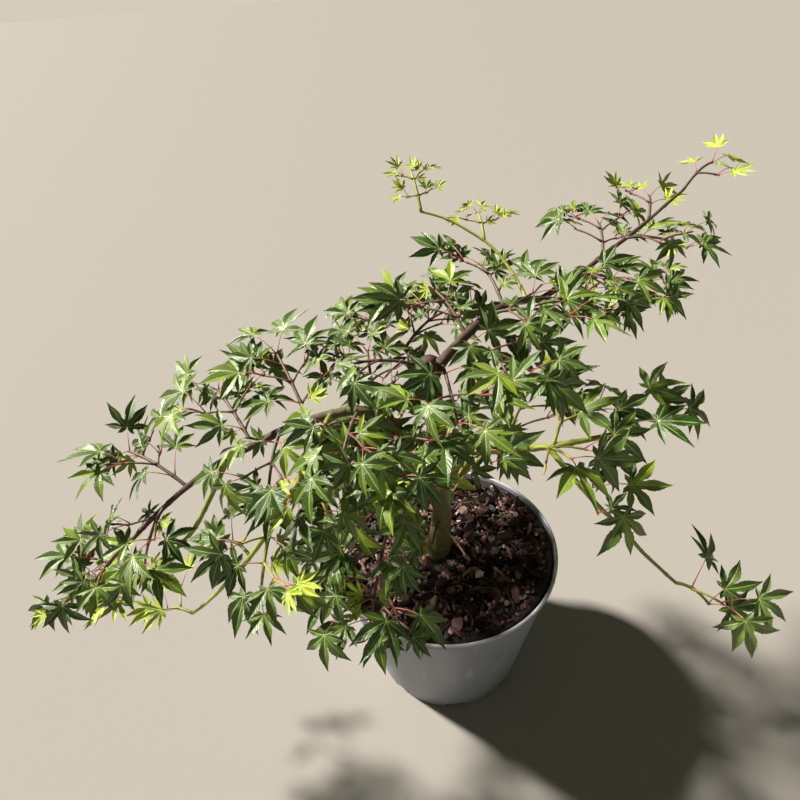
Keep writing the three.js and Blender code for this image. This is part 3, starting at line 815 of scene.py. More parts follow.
def blade_template(draw, shape):
    """One blade of length 1: a table of its points and of what its finish reads there (across,
    along, glow), its polygons, which of them lie underneath, and which edges are sharp."""
    spread, slimness, hang = shape
    rows, upper, lower, sharp = [], [], [], []

    def put(lobe, reach, aside=0.0, deeper=0.0, across=0.0, along=None):
        angle, _, drop, sickle, roll, _, glow = lobe
        turn = math.radians(angle + sickle * reach)
        height = FOLD * abs(aside) + roll * aside - drop * reach * reach - deeper
        rows.append((math.cos(turn) * reach - math.sin(turn) * aside,
                     math.sin(turn) * reach + math.cos(turn) * aside, height,
                     across, reach if along is None else along, glow))
        return len(rows) - 1

    # Each lobe: angle, share, drop, sickle, roll, width, glow.
    lobes = [(angle * spread + 10 * (draw() - 0.5), share * (1 + 0.16 * (draw() - 0.5)),
              hang * LOBE_DROOP * (0.55 + 1.0 * draw()), 26 * (draw() - 0.5), 0.9 * (draw() - 0.5),
              slimness * (0.86 + 0.28 * draw()), draw()) for angle, share in LOBES]
    middle_lobe = lobes[len(lobes) // 2]
    centre = put(middle_lobe, 0)
    under_centre = put(middle_lobe, 0, deeper=BLADE_THICKNESS * 1.6)
    sinuses = [put((180, *middle_lobe[1:]), 0.03, deeper=BLADE_THICKNESS, across=1.0)]
    for pair in zip(lobes, lobes[1:]):
        reach = SINUS * min(1.0, 0.45 + 0.7 * min(lobe[1] for lobe in pair))
        sinuses.append(put(np.mean(pair, axis=0), reach, deeper=-0.018, across=1.0))
    sinuses.append(sinuses[0])
    for order, lobe in enumerate(lobes):
        share, width = lobe[1], lobe[5]
        is_small = share < SMALL_LOBE
        tip = put(lobe, share, along=1.0)
        edge = [SMALL_EDGE] if is_small else lobe_edge(width)
        right, left = ([put(lobe, at * share, side * half * share, across=1.0, along=at)
                        for at, half in edge] for side in (-1, 1))
        for outline in ([sinuses[order], *right, tip], [sinuses[order + 1], *left, tip]):
            sharp += zip(outline, outline[1:])
        for middle, polygons, deeper in ((centre, upper, RIB_GROOVE),
                                         (under_centre, lower, RIB_GROOVE + BLADE_THICKNESS)):
            stops = [] if is_small else RIB_STOPS
            ribs = [put(lobe, at * share, deeper=deeper, along=at) for at, _ in stops]
            ribs = [middle, *ribs, tip]
            joins = [0, *(join for _, join in stops), len(edge)]
            for rib, next_rib, join, next_join in zip(ribs, ribs[1:], joins, joins[1:]):
                here = slice(join, next_join + 1)
                starts = [[sinus] if rib == middle else [] for sinus in sinuses[order:order + 2]]
                polygons.append([rib, *starts[0], *right[here], next_rib])
                polygons.append([rib, next_rib, *left[here][::-1], *starts[1]])
                sharp.append((rib, next_rib))
    marks = np.zeros((len(rows), len(rows)), bool)
    for a, b in sharp:
        marks[a, b] = marks[b, a] = True
    is_lower = np.repeat([0, 1], [len(upper), len(lower)])
    return np.array(rows), upper + [polygon[::-1] for polygon in lower], is_lower, marks


shapes = [GROWN_SHAPE] * GROWN_TEMPLATES + [YOUNG_SHAPE] * YOUNG_TEMPLATES
templates = [blade_template(seeded(70 + i), shape) for i, shape in enumerate(shapes)]
template_points = np.array([rows[:, :3] for rows, *_ in templates])
template_glows = np.array([rows[:, 5] for rows, *_ in templates])
first_rows, BLADE_POLYGONS, BLADE_IS_LOWER, BLADE_MARKS = templates[0]
BLADE_CORNERS = np.concatenate(BLADE_POLYGONS)
BLADE_SIZES = np.array([len(p) for p in BLADE_POLYGONS])
BLADE_MAP = first_rows[BLADE_CORNERS, 3:5]
print("a blade has", template_points.shape[1], "points and", len(BLADE_SIZES), "polygons")

# %% [markdown]
# ## The finish of the leaves
# Seen close, a leaf is mid green with a faint bluish bloom, pale ribs, fine side veins, and a
# yellow-green spot where the petiole meets it. The underside is paler and duller. New leaves are
# lime green. Where the sun shines through a lobe it looks yellow-green. Thin blades could be given
# real translucency, but then every leaf in another's shade would glow too. So some lobes simply
# carry that colour. The veins follow the blade, so they read the blade's own map: how far across
# the lobe and how far along it a point lies. Each leaf also carries a tint of its own.

# %% Leaf finishes
UPPER_GLOSS, UNDER_GLOSS = 0.5, 0.4
VEINS_ALONG, VEIN_SLANT = 11.0, 2.2
LEAF_COLOURS = {  # dark, light, rib, spot at the petiole, shone through, roughness
    "leaf_upper": (
        (0.013, 0.053, 0.001), (0.142, 0.214, 0.048), (0.30, 0.37, 0.12), (0.38, 0.42, 0.04),
        (0.215, 0.305, 0.005), 0.40),
    "leaf_underside": (
        (0.058, 0.120, 0.012), (0.170, 0.260, 0.045), (0.28, 0.36, 0.12), (0.36, 0.42, 0.06),
        (0.270, 0.350, 0.018), 0.6),
    "young_leaf_upper": (
        (0.21, 0.31, 0.015), (0.46, 0.56, 0.045), (0.55, 0.62, 0.13), (0.62, 0.60, 0.08),
        (0.54, 0.63, 0.03), 0.5),
    "young_leaf_underside": (
        (0.26, 0.36, 0.03), (0.47, 0.57, 0.09), (0.52, 0.58, 0.16), (0.60, 0.58, 0.10),
        (0.54, 0.64, 0.05), 0.6),
}


def leaf_finish(name, dark, light, rib, spot, shone_through, roughness):
    underside = name.endswith("underside")
    finish, tree, shader = new_finish(name, roughness, UNDER_GLOSS if underside else UPPER_GLOSS)
    blade_map = add_node("ShaderNodeUVMap", {}, tree, uv_map="blade")
    across, reach, _ = add_node("ShaderNodeSeparateXYZ", {0: blade_map}).node.outputs
    mottle = add_noise(tree, 90, 3, 0.6)
    blend = plus(times(read_attribute(tree, "tint"), 0.8), times(mottle, 0.2))
    middle = lerp(np.array(dark), np.array(light), 0.4)
    colour = add_ramp(blend, [(0.12, dark), (0.62, middle), (0.95, light)])
    slanted = minus(times(reach, VEINS_ALONG), times(across, VEIN_SLANT))
    side_veins = add_math("PINGPONG", slanted, 0.5)
    vein_line = add_math("LESS_THAN", side_veins, 0.07)
    rib_line = ranged(across, 0.04, 0.20, 0.85, 0.0, interpolation_type="SMOOTHSTEP")
    near_joint = ranged(reach, 0.015, 0.07, 0.6, 0.0, interpolation_type="SMOOTHSTEP")
    layers = [(times(vein_line, 0.16), rib), (read_attribute(tree, "glow"), shone_through),
              (rib_line, rib), (near_joint, spot)]
    for share, layer in layers:
        colour = add_mix(share, colour, layer)
    height = minus(side_veins, times(rib_line, 0.6))
    paint(shader, colour, times(height, -1.0) if underside else height, 0.0006, 0.5)
    return finish


leaf_upper, leaf_under, young_upper, young_under = (
    leaf_finish(name, *colours) for name, colours in LEAF_COLOURS.items())
print("leaf finishes:", list(LEAF_COLOURS))

# %% Build the leaves
GLOWLESS = 0.9  # how many leaves the sun doesn't shine through, for each one that it does


def show_leaves(side, group, leaves, finishes, kinds, seed):
    """One piece of many blades. Each leaf brings its length and its three directions."""
    name = f"leaves_{side}"
    draws = np.random.default_rng(seed)
    count, per_leaf = len(leaves), template_points.shape[1]
    kinds = draws.integers(*kinds, count)
    bases = np.array([leaf.base for leaf in leaves])
    lengths = np.array([leaf.length for leaf in leaves])
    axes = np.array([(leaf.axis, leaf.side, leaf.face) for leaf in leaves])
    shaped = np.einsum("nvk,nkj->nvj", template_points[kinds], axes) * lengths[:, None, None]
    starts = np.arange(count)[:, None] * per_leaf
    tints = np.clip(draws.normal(0.5, 0.25, count), 0.02, 1)
    leaf_glows = np.clip(draws.uniform(-GLOWLESS, 1.0, count), 0, 1)
    glows = leaf_glows[:, None] * np.clip(2.2 * template_glows[kinds] - 0.9, 0, 1)
    bundle = Bundle()
    bundle.add((bases[:, None] + shaped).reshape(-1, 3), (BLADE_CORNERS + starts).ravel(),
               np.tile(BLADE_SIZES, count), tint=np.repeat(tints, per_leaf), glow=glows.ravel())
    mesh = bundle.mesh(name, finishes, finish_index=np.tile(BLADE_IS_LOWER, count))
    blade_uv = mesh.uv_layers.new(name="blade")
    blade_uv.data.foreach_set("uv", np.tile(BLADE_MAP, (count, 1)).astype(np.float32).ravel())
    ends = np.empty(2 * len(mesh.edges), np.int32)
    mesh.edges.foreach_get("vertices", ends)
    first, last = ends.reshape(-1, 2).T % per_leaf
    creases = mesh.attributes.new("sharp_edge", "BOOLEAN", "EDGE")
    creases.data.foreach_set("value", BLADE_MARKS[first, last])
    mesh.update()
    show_piece(name, mesh, [mass.name for mass in group])


def side_of(mass):
    side = mass.bough.split("_")[0]
    return side if side in ("left", "right") else "middle"


for seed, side in enumerate(("left", "right", "middle")):
    group = [mass for mass in masses if side_of(mass) == side and not mass.young]
    grown = [leaf for mass in group for leaf in mass.leaves if not leaf.young]
    show_leaves(side, group, grown, (leaf_upper, leaf_under), (0, GROWN_TEMPLATES), seed)
fresh_masses = [mass for mass in masses if any(leaf.young for leaf in mass.leaves)]
fresh_leaves = [leaf for mass in fresh_masses for leaf in mass.leaves if leaf.young]
show_leaves("young", fresh_masses, fresh_leaves, (young_upper, young_under),
            (GROWN_TEMPLATES, len(templates)), 3)

# %% [markdown]
# ## Petioles, twigs and stems
# A petiole is a thread under two millimetres thick, pinkish red, that bends a little before it
# meets the blade. Twigs are thicker and browner red, with a swelling at every joint. The stems of
# the yellow-green boughs are green too. All of them are tubes, gathered by kind.

# %% Thin wood
petioles, red_wood, green_wood = Bundle(), Bundle(), Bundle()
BOW_SHARE = 0.08
PETIOLE_SIDES, TWIG_SIDES, STEM_SIDES = 5, 7, 9
STEM_RING_STEP = 3.5
PETIOLE_RADII = np.array([0.85, 0.60, 0.52, 0.52, 0.66])
TWIG_RADII = [1.5, 1.1, 1.0, 1.0, 1.35, 0.5]
JOINT_SWELLING, JOINT_WIDTH = 0.55, 2.2


def bowed_line(start, end, rings, bow):
    shares = np.linspace(0, 1, rings)[:, None]
    line = start + (end - start) * shares
    line[:, 2] += np.sin(shares[:, 0] * math.pi) * bow
    return line


for mass in masses:
    wood = green_wood if mass.bough in GREEN_BOUGHS else red_wood
    for leaf in mass.leaves:
        reach = np.linalg.norm(leaf.base - leaf.root)
        rings = len(PETIOLE_RADII)
        path = bowed_line(leaf.root, leaf.base - leaf.face * 0.35, rings, BOW_SHARE * reach)
        radii = PETIOLE_RADII * (0.55 + 0.45 * min(1, leaf.length / 45))
        tone = np.repeat(np.linspace(0, 1, rings), PETIOLE_SIDES)
        petioles.add(*tube(path, radii, PETIOLE_SIDES), tone=tone)
    for start, end in mass.twigs:
        reach = np.linalg.norm(end - start)
        past_end = end + unit(end - start) * 1.5
        path = bowed_line(start, past_end, len(TWIG_RADII), BOW_SHARE * 0.6 * reach)
        wood.add(*tube(path, TWIG_RADII, TWIG_SIDES), tone=0.3)
    length = mass.bend.length()
    shares = np.linspace(0, 1, max(12, int(length / STEM_RING_STEP)))
    radii = lerp(*STEM_GIRTH, shares) / 2 * 0.92
    for joint in mass.joints:
        radii = radii + JOINT_SWELLING * np.exp(-((shares - joint) * length / JOINT_WIDTH) ** 2)
    radii[-1] *= 0.6
    tone = np.repeat(0.4 + 0.5 * (1 - shares), STEM_SIDES)
    wood.add(*tube(mass.bend.at(shares), radii, STEM_SIDES), tone=tone)


def thin_wood_finish(name, stops, roughness):
    finish, tree, shader = new_finish(name, roughness)
    tone = plus(times(read_attribute(tree, "tone"), 0.7), times(add_noise(tree, 160), 0.3))
    paint(shader, add_ramp(tone, stops), add_noise(tree, 900), 0.0003, 0.4)
    return finish


petiole_red = thin_wood_finish("petiole_red", [
    (0.1, (0.36, 0.065, 0.055)), (0.55, (0.45, 0.13, 0.10)), (0.85, (0.36, 0.34, 0.09))], 0.45)
twig_red = thin_wood_finish("twig_red", [
    (0.2, (0.15, 0.062, 0.035)), (0.6, (0.10, 0.056, 0.032)), (0.9, (0.10, 0.085, 0.045))], 0.55)
twig_green = thin_wood_finish("twig_green", [
    (0.2, (0.32, 0.20, 0.05)), (0.5, (0.30, 0.33, 0.05)), (0.9, (0.22, 0.26, 0.05))], 0.5)
names = [mass.name for mass in masses]
green_names = [mass.name for mass in masses if mass.bough in GREEN_BOUGHS]
red_names = [name for name in names if name not in green_names]
show_bundle("petioles", petioles, petiole_red, names)
show_bundle("red_twigs", red_wood, twig_red, red_names)
show_bundle("green_twigs", green_wood, twig_green, green_names)

# %% [markdown]
# ## Bark with relief
# The trunk and boughs have thin smooth bark with long shallow ridges, rings at the old joints, a
# collar where a bough leaves its parent, and a flare at the root. A bump in the finish would show
# the ridges but leave the outline straight. So the rings of the tubes get their radius from a
# smooth noise that is stretched along the limb, and the swellings are added to it.

# %% Relief of the bark
NOISE_CELLS = 400
RING_STEP = 2.2
TRUNK_SIDES, BOUGH_SIDES = 40, 26
TRUNK_SUNK = 8  # how far the trunk's foot goes under the mulch
JOINT_SPACING = 38.0
JOINT_FORMS = [(0.75, 0.0, 2.4), (-0.45, 2.6, 0.9)]  # ring and groove: height, shift, width
FLARE, FLARE_HEIGHT, ROOTS = 0.42, 16, 5
COLLAR, COLLAR_REACH = 0.42, 1.1
RIDGES = [(0.30, 24, 9), (0.16, 9, 13), (0.10, 3.5, 7)]  # height, cell length, cells around
TIP_SHARES = (0.25, 0.42, 0.5)  # how far past the tip the rings of the round cap lie
BLUNT_LIMBS = ("trunk", "left_leader", "right_bough")


def smooth_noise(around, lengthwise, cells_around, seed):
    """A smooth noise from -1 to 1 that closes round the limb; lengthwise is in cells."""
    table = np.random.default_rng(seed).uniform(-1, 1, (cells_around, NOISE_CELLS))
    u0, v0 = np.floor(around * cells_around).astype(int), np.floor(lengthwise).astype(int)
    parts = around * cells_around - u0, lengthwise - v0
    fu, fv = (part * part * (3 - 2 * part) for part in parts)
    row, next_row = u0 % cells_around, (u0 + 1) % cells_around
    first, last = (lerp(table[row, v % NOISE_CELLS], table[next_row, v % NOISE_CELLS], fu)
                   for v in (v0, v0 + 1))
    return lerp(first, last, fv)


def limb_girth(name):
    return TRUNK_GIRTH if name == "trunk" else BOUGHS[name][7:9]


def bark_tube(name, seed):
    """A limb's rings with ridges, joints, collars and a wavering line."""
    length = bends[name].length()
    rings = int(length / RING_STEP)
    sides = TRUNK_SIDES if name == "trunk" else BOUGH_SIDES
    shares = np.linspace(0, 1, rings)
    reach = shares * length
    waver = np.stack([smooth_noise(np.zeros(rings), reach / JOINT_SPACING, 1, seed + 90 + k)
                      for k in range(3)], -1)
    path = bends[name].at(shares) + waver * (1.4 * np.sin(shares * math.pi))[:, None]
    around, lengthwise = np.meshgrid(np.arange(sides) / sides, reach)
    radius = lerp(*limb_girth(name), shares)[:, None] / 2 * np.ones((1, sides))
    relief = sum(height * smooth_noise(around, lengthwise / cell, cells, seed + order)
                 for order, (height, cell, cells) in enumerate(RIDGES))
    middles = np.arange(20, length, JOINT_SPACING)
    for at in middles + np.random.default_rng(seed + 3).uniform(-8, 8, 60)[:len(middles)]:
        relief += sum(height * np.exp(-((lengthwise - at - shift) / width) ** 2)
                      for height, shift, width in JOINT_FORMS)
    radius = radius + relief * np.sqrt(radius / 6)
    if name == "trunk":
        path[0] = path[0] - (0, 0, TRUNK_SUNK)
        flare = FLARE * np.exp(-lengthwise / FLARE_HEIGHT)
        radius *= 1 + flare * (1 + 0.4 * np.cos(ROOTS * 2 * math.pi * around))
        radius *= 1 + 0.3 * np.exp((lengthwise - length) / 9)
        radius *= 1 + 0.05 * smooth_noise(around, lengthwise / 40, 5, seed + 4)
    elif BOUGHS[name][1] < 1:
        parent, at = BOUGHS[name][:2]
        parent_half = lerp(*limb_girth(parent), at) / 2
        past_parent = np.maximum(0, lengthwise - parent_half)
        radius *= 1 + COLLAR * np.exp(-past_parent / (COLLAR_REACH * parent_half))
    cap = np.array((0.86, 0.55, 0.12) if name in BLUNT_LIMBS else (0.8, 0.45, 0.1))
    beyond = unit(path[-1] - path[-2]) * radius[-1:].mean()
    path = np.vstack([path, *(path[-1] + beyond * share for share in TIP_SHARES)])
    radius = np.vstack([radius, radius[-1:] * cap[:, None]])
    return path, radius, np.concatenate([shares, [1, 1, 1]])


BARK_TONES = {  # a limb's tone at its root and tip: 0 green, 0.5 olive brown, 1 dark red-brown
    "trunk": (0.24, 0.74), "left_leader": (0.42, 0.42), "left_bough": (0.48, 1.0),
    "front_bough": (0.5, 0.7), "right_bough": (0.92, 1.0), "right_outer": (0.95, 0.85),
    "back_bough": (0.55, 0.8), "left_hanger": (0.1, 0.25), "left_drooper": (0.3, 0.35),
    "right_low": (0.05, 0.30), "right_drooper": (0.25, 0.5), "top_shoot": (0.15, 0.0),
}
grey_limbs, green_limbs = Bundle(), Bundle()
for order, name in enumerate(bends):
    path, radius, shares = bark_tube(name, 300 + 10 * order)
    sides = radius.shape[1]
    tones = np.repeat(lerp(*BARK_TONES[name], shares), sides)
    if name == "trunk":
        tones[-5 * sides:] = 1.0
    target = green_limbs if name in GREEN_BOUGHS else grey_limbs
    target.add(*tube(path, radius, sides), tone=tones)
print(len(BARK_TONES), "limbs have their bark")

# %% Bark finishes
def bark_finish(name, stops, roughness, spot_colour, spots):
    finish, tree, shader = new_finish(name, roughness)
    patches = add_noise(tree, 55, 4, 0.6)
    tone = plus(read_attribute(tree, "tone"), times(minus(patches, 0.5), 1.1))
    is_spot = add_math("GREATER_THAN", add_noise(tree, 700), 0.66)
    colour = add_mix(times(is_spot, spots), add_ramp(tone, stops), spot_colour)
    streaks = add_noise(tree, 1.0, 3, 0.6, (900, 900, 120))
    shading = add_ramp(streaks, [(0.3, (0.35, 0.33, 0.3)), (0.7, (1, 1, 1))])
    colour = add_mix(0.35, colour, shading, "MULTIPLY")
    paint(shader, colour, plus(streaks, times(patches, 0.5)), 0.0006, 0.6)
    return finish


grey_bark = bark_finish("grey_brown_bark", [
    (0.1, (0.105, 0.110, 0.028)), (0.45, (0.150, 0.118, 0.045)), (0.7, (0.085, 0.050, 0.030)),
    (1.0, (0.062, 0.020, 0.018))], 0.7, (0.32, 0.30, 0.24), 0.35)
green_bark = bark_finish("yellow_green_bark", [
    (0.0, (0.36, 0.40, 0.050)), (0.4, (0.24, 0.30, 0.045)), (0.9, (0.22, 0.15, 0.05))], 0.5,
    (0.42, 0.42, 0.18), 0.25)
grey_names = [name for name in bends if name not in GREEN_BOUGHS]
show_bundle("grey_limbs", grey_limbs, grey_bark, grey_names)
show_bundle("green_limbs", green_limbs, green_bark, GREEN_BOUGHS)

# %% [markdown]
# ## The pot
# The pot is injection moulded: a thin tapered shell with a plain band at the rim, and notches round
# its foot that let water out. Its wall could be spun from a profile with a Screw modifier. Here the
# profile is swept in numbers, because the same few lines close it at the axis, and Geometry Nodes
# set the ring of notch blocks and cut them out, with their number and size as inputs.

# %% Pot profile
POT_HEIGHT = 200.0
RIM_RADIUS = 135.0
FOOT_RADIUS = 95.0
POT_WALL = 2.4
BAND_HEIGHT = 7.0
BAND_STEP = 2.2
LIP_WIDTH = 3.2
POT_SIDES = 160


def wall_radius(height):
    return lerp(FOOT_RADIUS, RIM_RADIUS - BAND_STEP, height / POT_HEIGHT)


def rounded(profile, steps=4):
    """The points of a profile with its corners rounded by a radius; 0 keeps a corner sharp."""
    points = [np.array(corner[:2], float) for corner in profile]
    out = [points[0]]
    for before, corner, after, (*_, radius) in zip(points, points[1:], points[2:], profile[1:]):
        if radius:
            start, end = (corner + unit(other - corner) * radius for other in (before, after))
            out += list(Bend(start, corner, end).at(np.linspace(0, 1, steps + 1)))
        else:
            out.append(corner)
    return np.array(out + points[-1:])


def circles(radii, sides):
    """Where the points of circles round the axis lie, in one row for each radius."""
    angles = round_angles(sides)
    return radii[:, None] * np.cos(angles), radii[:, None] * np.sin(angles)


def closed_rings(rings, last_centre, first_centre=None):
    """Rings of points, closed by a fan at the last one and, if it has a centre, at the first."""
    count, sides = rings.shape[:2]
    centres = [last_centre] if first_centre is None else [first_centre, last_centre]
    points = np.vstack([rings.reshape(-1, 3), centres])
    here = np.arange(sides)
    after, inmost, top = np.roll(here, -1), (count - 1) * sides, np.full(sides, len(points) - 1)
    fans = [np.stack([top, inmost + here, inmost + after], -1)]
    if first_centre is not None:
        fans.insert(0, np.stack([top - 1, after, here], -1))
    return shell(points, ring_quads(count, sides), *fans)


def swept(profile, sides):
    """Sweeps a profile of (radius, height) round the axis. Its first and last points are on it."""
    inner = profile[1:-1]
    rings = np.stack([*circles(inner[:, 0], sides), np.repeat(inner[:, 1:], sides, axis=1)], -1)
    return closed_rings(rings, (0, 0, profile[-1, 1]), (0, 0, profile[0, 1]))


band_foot = POT_HEIGHT - BAND_HEIGHT
pot_profile = rounded([  # radius and height of each corner, and how much it is rounded
    (0, 0, 0), (FOOT_RADIUS - 6, 0, 0), (FOOT_RADIUS, 0, 1.4), (wall_radius(60), 60, 0),
    (wall_radius(band_foot), band_foot, 0.6), (RIM_RADIUS, band_foot + 0.6, 1.0),
    (RIM_RADIUS, POT_HEIGHT, 1.3), (RIM_RADIUS - LIP_WIDTH, POT_HEIGHT, 1.0),
    (wall_radius(170) - POT_WALL, 170, 0), (wall_radius(POT_WALL) - POT_WALL, POT_WALL, 2.0),
    (0, POT_WALL, 0)])
pot_wall = Bundle()
pot_wall.add(*swept(pot_profile, POT_SIDES))
print("pot profile has", len(pot_profile), "points")

# %% Pot plastic
RIM_PAINTED_HIGHLIGHT = ((POT_HEIGHT - 2.5) * MM, (POT_HEIGHT - 0.5) * MM)  # the lip is painted paler: a painted highlight where light catches the rim
plastic, tree, shader = new_finish("grey_blue_plastic", 0.42)
cloudy = add_noise(tree, 14, 3)
colour = add_ramp(cloudy, [(0.3, (0.205, 0.224, 0.268)), (0.7, (0.245, 0.264, 0.308))])
is_speck = add_math("GREATER_THAN", add_noise(tree, 420, 2, 0.7), 0.72)
drips = add_noise(tree, 1.0, 4, 0.6, (60, 60, 5))
level = add_node("ShaderNodeSeparateXYZ", {0: object_place(tree)}, out=2)
soil = times(ranged(level, 0.0, 0.03, 0.5, 0.0), add_noise(tree, 60, 4, 0.7))
for share, layer in ((times(is_speck, 0.6), (0.16, 0.13, 0.10)),
                     (ranged(drips, 0.60, 0.70, 0.0, 0.35), (0.58, 0.58, 0.58)),
                     (soil, (0.20, 0.16, 0.11)),
                     # painted highlight: the top of the lip is mixed towards pale grey
                     (ranged(level, *RIM_PAINTED_HIGHLIGHT, 0.0, 1.0), (0.42, 0.43, 0.45))):
    colour = add_mix(share, colour, layer)
paint(shader, colour, add_noise(tree, 1200), 0.0002, 0.25)
print(plastic.name, "has", len(tree.nodes), "nodes")

# %% Cut the drain notches with Geometry Nodes
SHARP_ANGLE = math.radians(32)
SOCKET_KINDS = {int: "Int", float: "Float", tuple: "Vector", bpy.types.Material: "Material",
                bpy.types.Collection: "Collection"}


def made_by_nodes(name, source, build, values):
    """Runs a tree with named inputs on a mesh and returns the result as a plain mesh. build adds
    the nodes between the inputs and the two that every tree ends in."""
    tree = bpy.data.node_groups.new(name, "GeometryNodeTree")
    for way in ("INPUT", "OUTPUT"):
        tree.interface.new_socket("Geometry", in_out=way, socket_type="NodeSocketGeometry")
    keys = {}
    for key, value in values.items():
        kind = "NodeSocket" + SOCKET_KINDS[type(value)]
        keys[key] = tree.interface.new_socket(key, in_out="INPUT", socket_type=kind).identifier
    given = tree.nodes.new("NodeGroupInput").outputs
    realised = add_node("GeometryNodeRealizeInstances", {0: build(tree, given)})
    painted = add_node("GeometryNodeSetMaterial", {0: realised, "Material": given["Finish"]})
    tree.links.new(painted, tree.nodes.new("NodeGroupOutput").inputs[0])
    carrier = placed(name, source)
    modifier = carrier.modifiers.new(name, "NODES")
    modifier.node_group = tree
    for key, value in values.items():
        modifier[keys[key]] = value
    bpy.context.view_layer.update()
    graph = bpy.context.evaluated_depsgraph_get()
    result = bpy.data.meshes.new_from_object(carrier.evaluated_get(graph))
    bpy.data.objects.remove(carrier)
    result.name = name
    return result


def notched(tree, given):
    """Cuts a ring of blocks out of the pot."""
    step = add_math("DIVIDE", 2 * math.pi, given["Count"])
    angle = times(add_node("GeometryNodeInputIndex", {}, tree), step)
    x, y = (times(add_math(wave, angle), given["Ring Radius"]) for wave in ("COSINE", "SINE"))
    spot = add_node("ShaderNodeCombineXYZ", {0: x, 1: y})
    blocks = add_node("GeometryNodeInstanceOnPoints", {
        "Points": add_node("GeometryNodePoints", {"Count": given["Count"], "Position": spot}),
        "Instance": add_node("GeometryNodeMeshCube", {"Size": given["Block Size"]}),
        "Rotation": add_node("ShaderNodeCombineXYZ", {2: angle})})
    solid_blocks = add_node("GeometryNodeRealizeInstances", {0: blocks})
    meshes = {"Mesh 1": given["Geometry"], "Mesh 2": solid_blocks}
    return add_node("GeometryNodeMeshBoolean", meshes, operation="DIFFERENCE", solver="EXACT")


pot_mesh = made_by_nodes("pot_shell", pot_wall.mesh("pot_wall", []), notched, {
    "Count": 8, "Ring Radius": FOOT_RADIUS * MM, "Block Size": (0.020, 0.024, 0.018),
    "Finish": plastic})
pot_mesh.shade_smooth()
pot_mesh.set_sharp_from_angle(angle=SHARP_ANGLE)
show_piece("pot_shell", pot_mesh, ["pot"])

# %% [markdown]
# ## The bark mulch
# The pot is topped with coarse shredded bark: thousands of dark, damp chips with a few red-brown
# and pale ones, and some straw-coloured fibres. It banks up a little against the wall. Modelling a
# heap by physics would take long and show the same. An uneven bed fills the gaps in near black:
# damp bark below, and painted shade in the gaps between the chips. Geometry Nodes scatter a
# handful of chip shapes over it at random sizes and tilts, each with a tone of its own.

# %% Mulch bed
MULCH_WAVES = (17, 14, 37)
MULCH_UNEVEN = 4
WALL_BANK, BANK_WIDTH = 6.8, 18
LEVEL_WIDTH = 26  # over this the waves fade out towards the wall and towards the trunk
LEVEL_RADIUS = 18
BED_SIDES = 96
BED_EDGE = wall_radius(MULCH_LEVEL) - POT_WALL - GAP
BED_LOWER = 1.0  # how far the bed lies under the chips
DEEP_RADIUS, DEEP_LEVEL = 110.0, 120.0  # the bed's hidden underside


def mulch_height(x, y):
    """The height of the mulch: uneven, level round the trunk and banked up against the wall."""
    wave_x, wave_y, slant = MULCH_WAVES
    waves = np.sin(x / wave_x + y / slant) * np.cos(y / wave_y - x / slant)
    from_axis = np.hypot(x, y)
    from_trunk = np.hypot(x - TRUNK_FOOT[0], y - TRUNK_FOOT[1])
    edge = np.clip((BED_EDGE - from_axis) / LEVEL_WIDTH, 0, 1)
    trunk = np.clip((from_trunk - LEVEL_RADIUS) / LEVEL_WIDTH, 0, 1)
    bank = WALL_BANK * np.clip((from_axis - BED_EDGE + LEVEL_WIDTH) / BANK_WIDTH, 0, 1)
    return MULCH_LEVEL + MULCH_UNEVEN * waves * edge * trunk + bank


def mulch_rings(edge, count, lower=0.0):
    """Rings of points on the mulch from an edge inwards, and their centre."""
    x, y = circles(np.linspace(0, edge, count)[:0:-1], BED_SIDES)
    rings = np.stack([x, y, mulch_height(x, y) - lower], -1)
    return rings, (0, 0, mulch_height(0.0, 0.0) - lower)


top_rings, bed_centre = mulch_rings(BED_EDGE, 22, BED_LOWER)
x, y = circles(np.array([DEEP_RADIUS]), BED_SIDES)
bed_rings = np.concatenate([np.stack([x, y, np.full_like(x, DEEP_LEVEL)], -1), top_rings])
bed = Bundle()
bed.add(*closed_rings(bed_rings, bed_centre, (0, 0, DEEP_LEVEL)))
bed_finish_damp_gap_shade, tree, shader = new_finish("damp_bark_with_gap_shade", 0.85)
crumbs = add_noise(tree, 260, 4, 0.7)
# near black: the damp bed's own colour, and painted shade in the gaps between the chips
colour = add_ramp(crumbs, [(0.35, (0.008, 0.005, 0.004)), (0.75, (0.050, 0.024, 0.018))])
paint(shader, colour, crumbs, 0.003, 0.9)
show_bundle("mulch_bed", bed, bed_finish_damp_gap_shade, ["bark_mulch"])

# %% Chip shapes
CHIP_SIZES = [(15, 8, 3.6), (11, 8.5, 5.0), (20, 5.5, 2.4), (9, 7, 4.2), (14, 5.5, 2.6),
              (8, 6, 4.4), (24, 3.6, 1.8), (12, 9, 3.0), (18, 2.4, 1.6)]
CHIP_STATIONS = np.array([-0.5, -0.18, 0.2, 0.5])
CHIP_CORNERS = np.array([(-1, -1), (1, -1), (1, 1), (-1, 1)])


def chip_mesh(name, length, width, height, draws):
    """A split flake of bark: a bent, uneven slab with a ragged end."""
    rings = []
    for order, x in enumerate(CHIP_STATIONS * length):
        narrow = draws.uniform(0.35, 0.75) if order in (0, 3) else draws.uniform(0.85, 1.1)
        bow = 0.10 * length * (1 - (2 * x / length) ** 2) * draws.uniform(0.4, 1.2)
        half_size = narrow * width / 2, height / 2 * draws.uniform(0.6, 1.2)
        corners = CHIP_CORNERS * half_size * draws.uniform(0.75, 1.15, (4, 2))
        rings.append([(x + draws.uniform(-0.06, 0.06) * length, y, z + bow) for y, z in corners])
    points = np.array(rings).reshape(-1, 3)
    bundle = Bundle()
    bundle.add(*shell(points, ring_quads(4, 4)[:, [0, 3, 2, 1]], [(0, 1, 2, 3), (15, 14, 13, 12)]))
    return bundle.mesh(name, [], smooth=False)


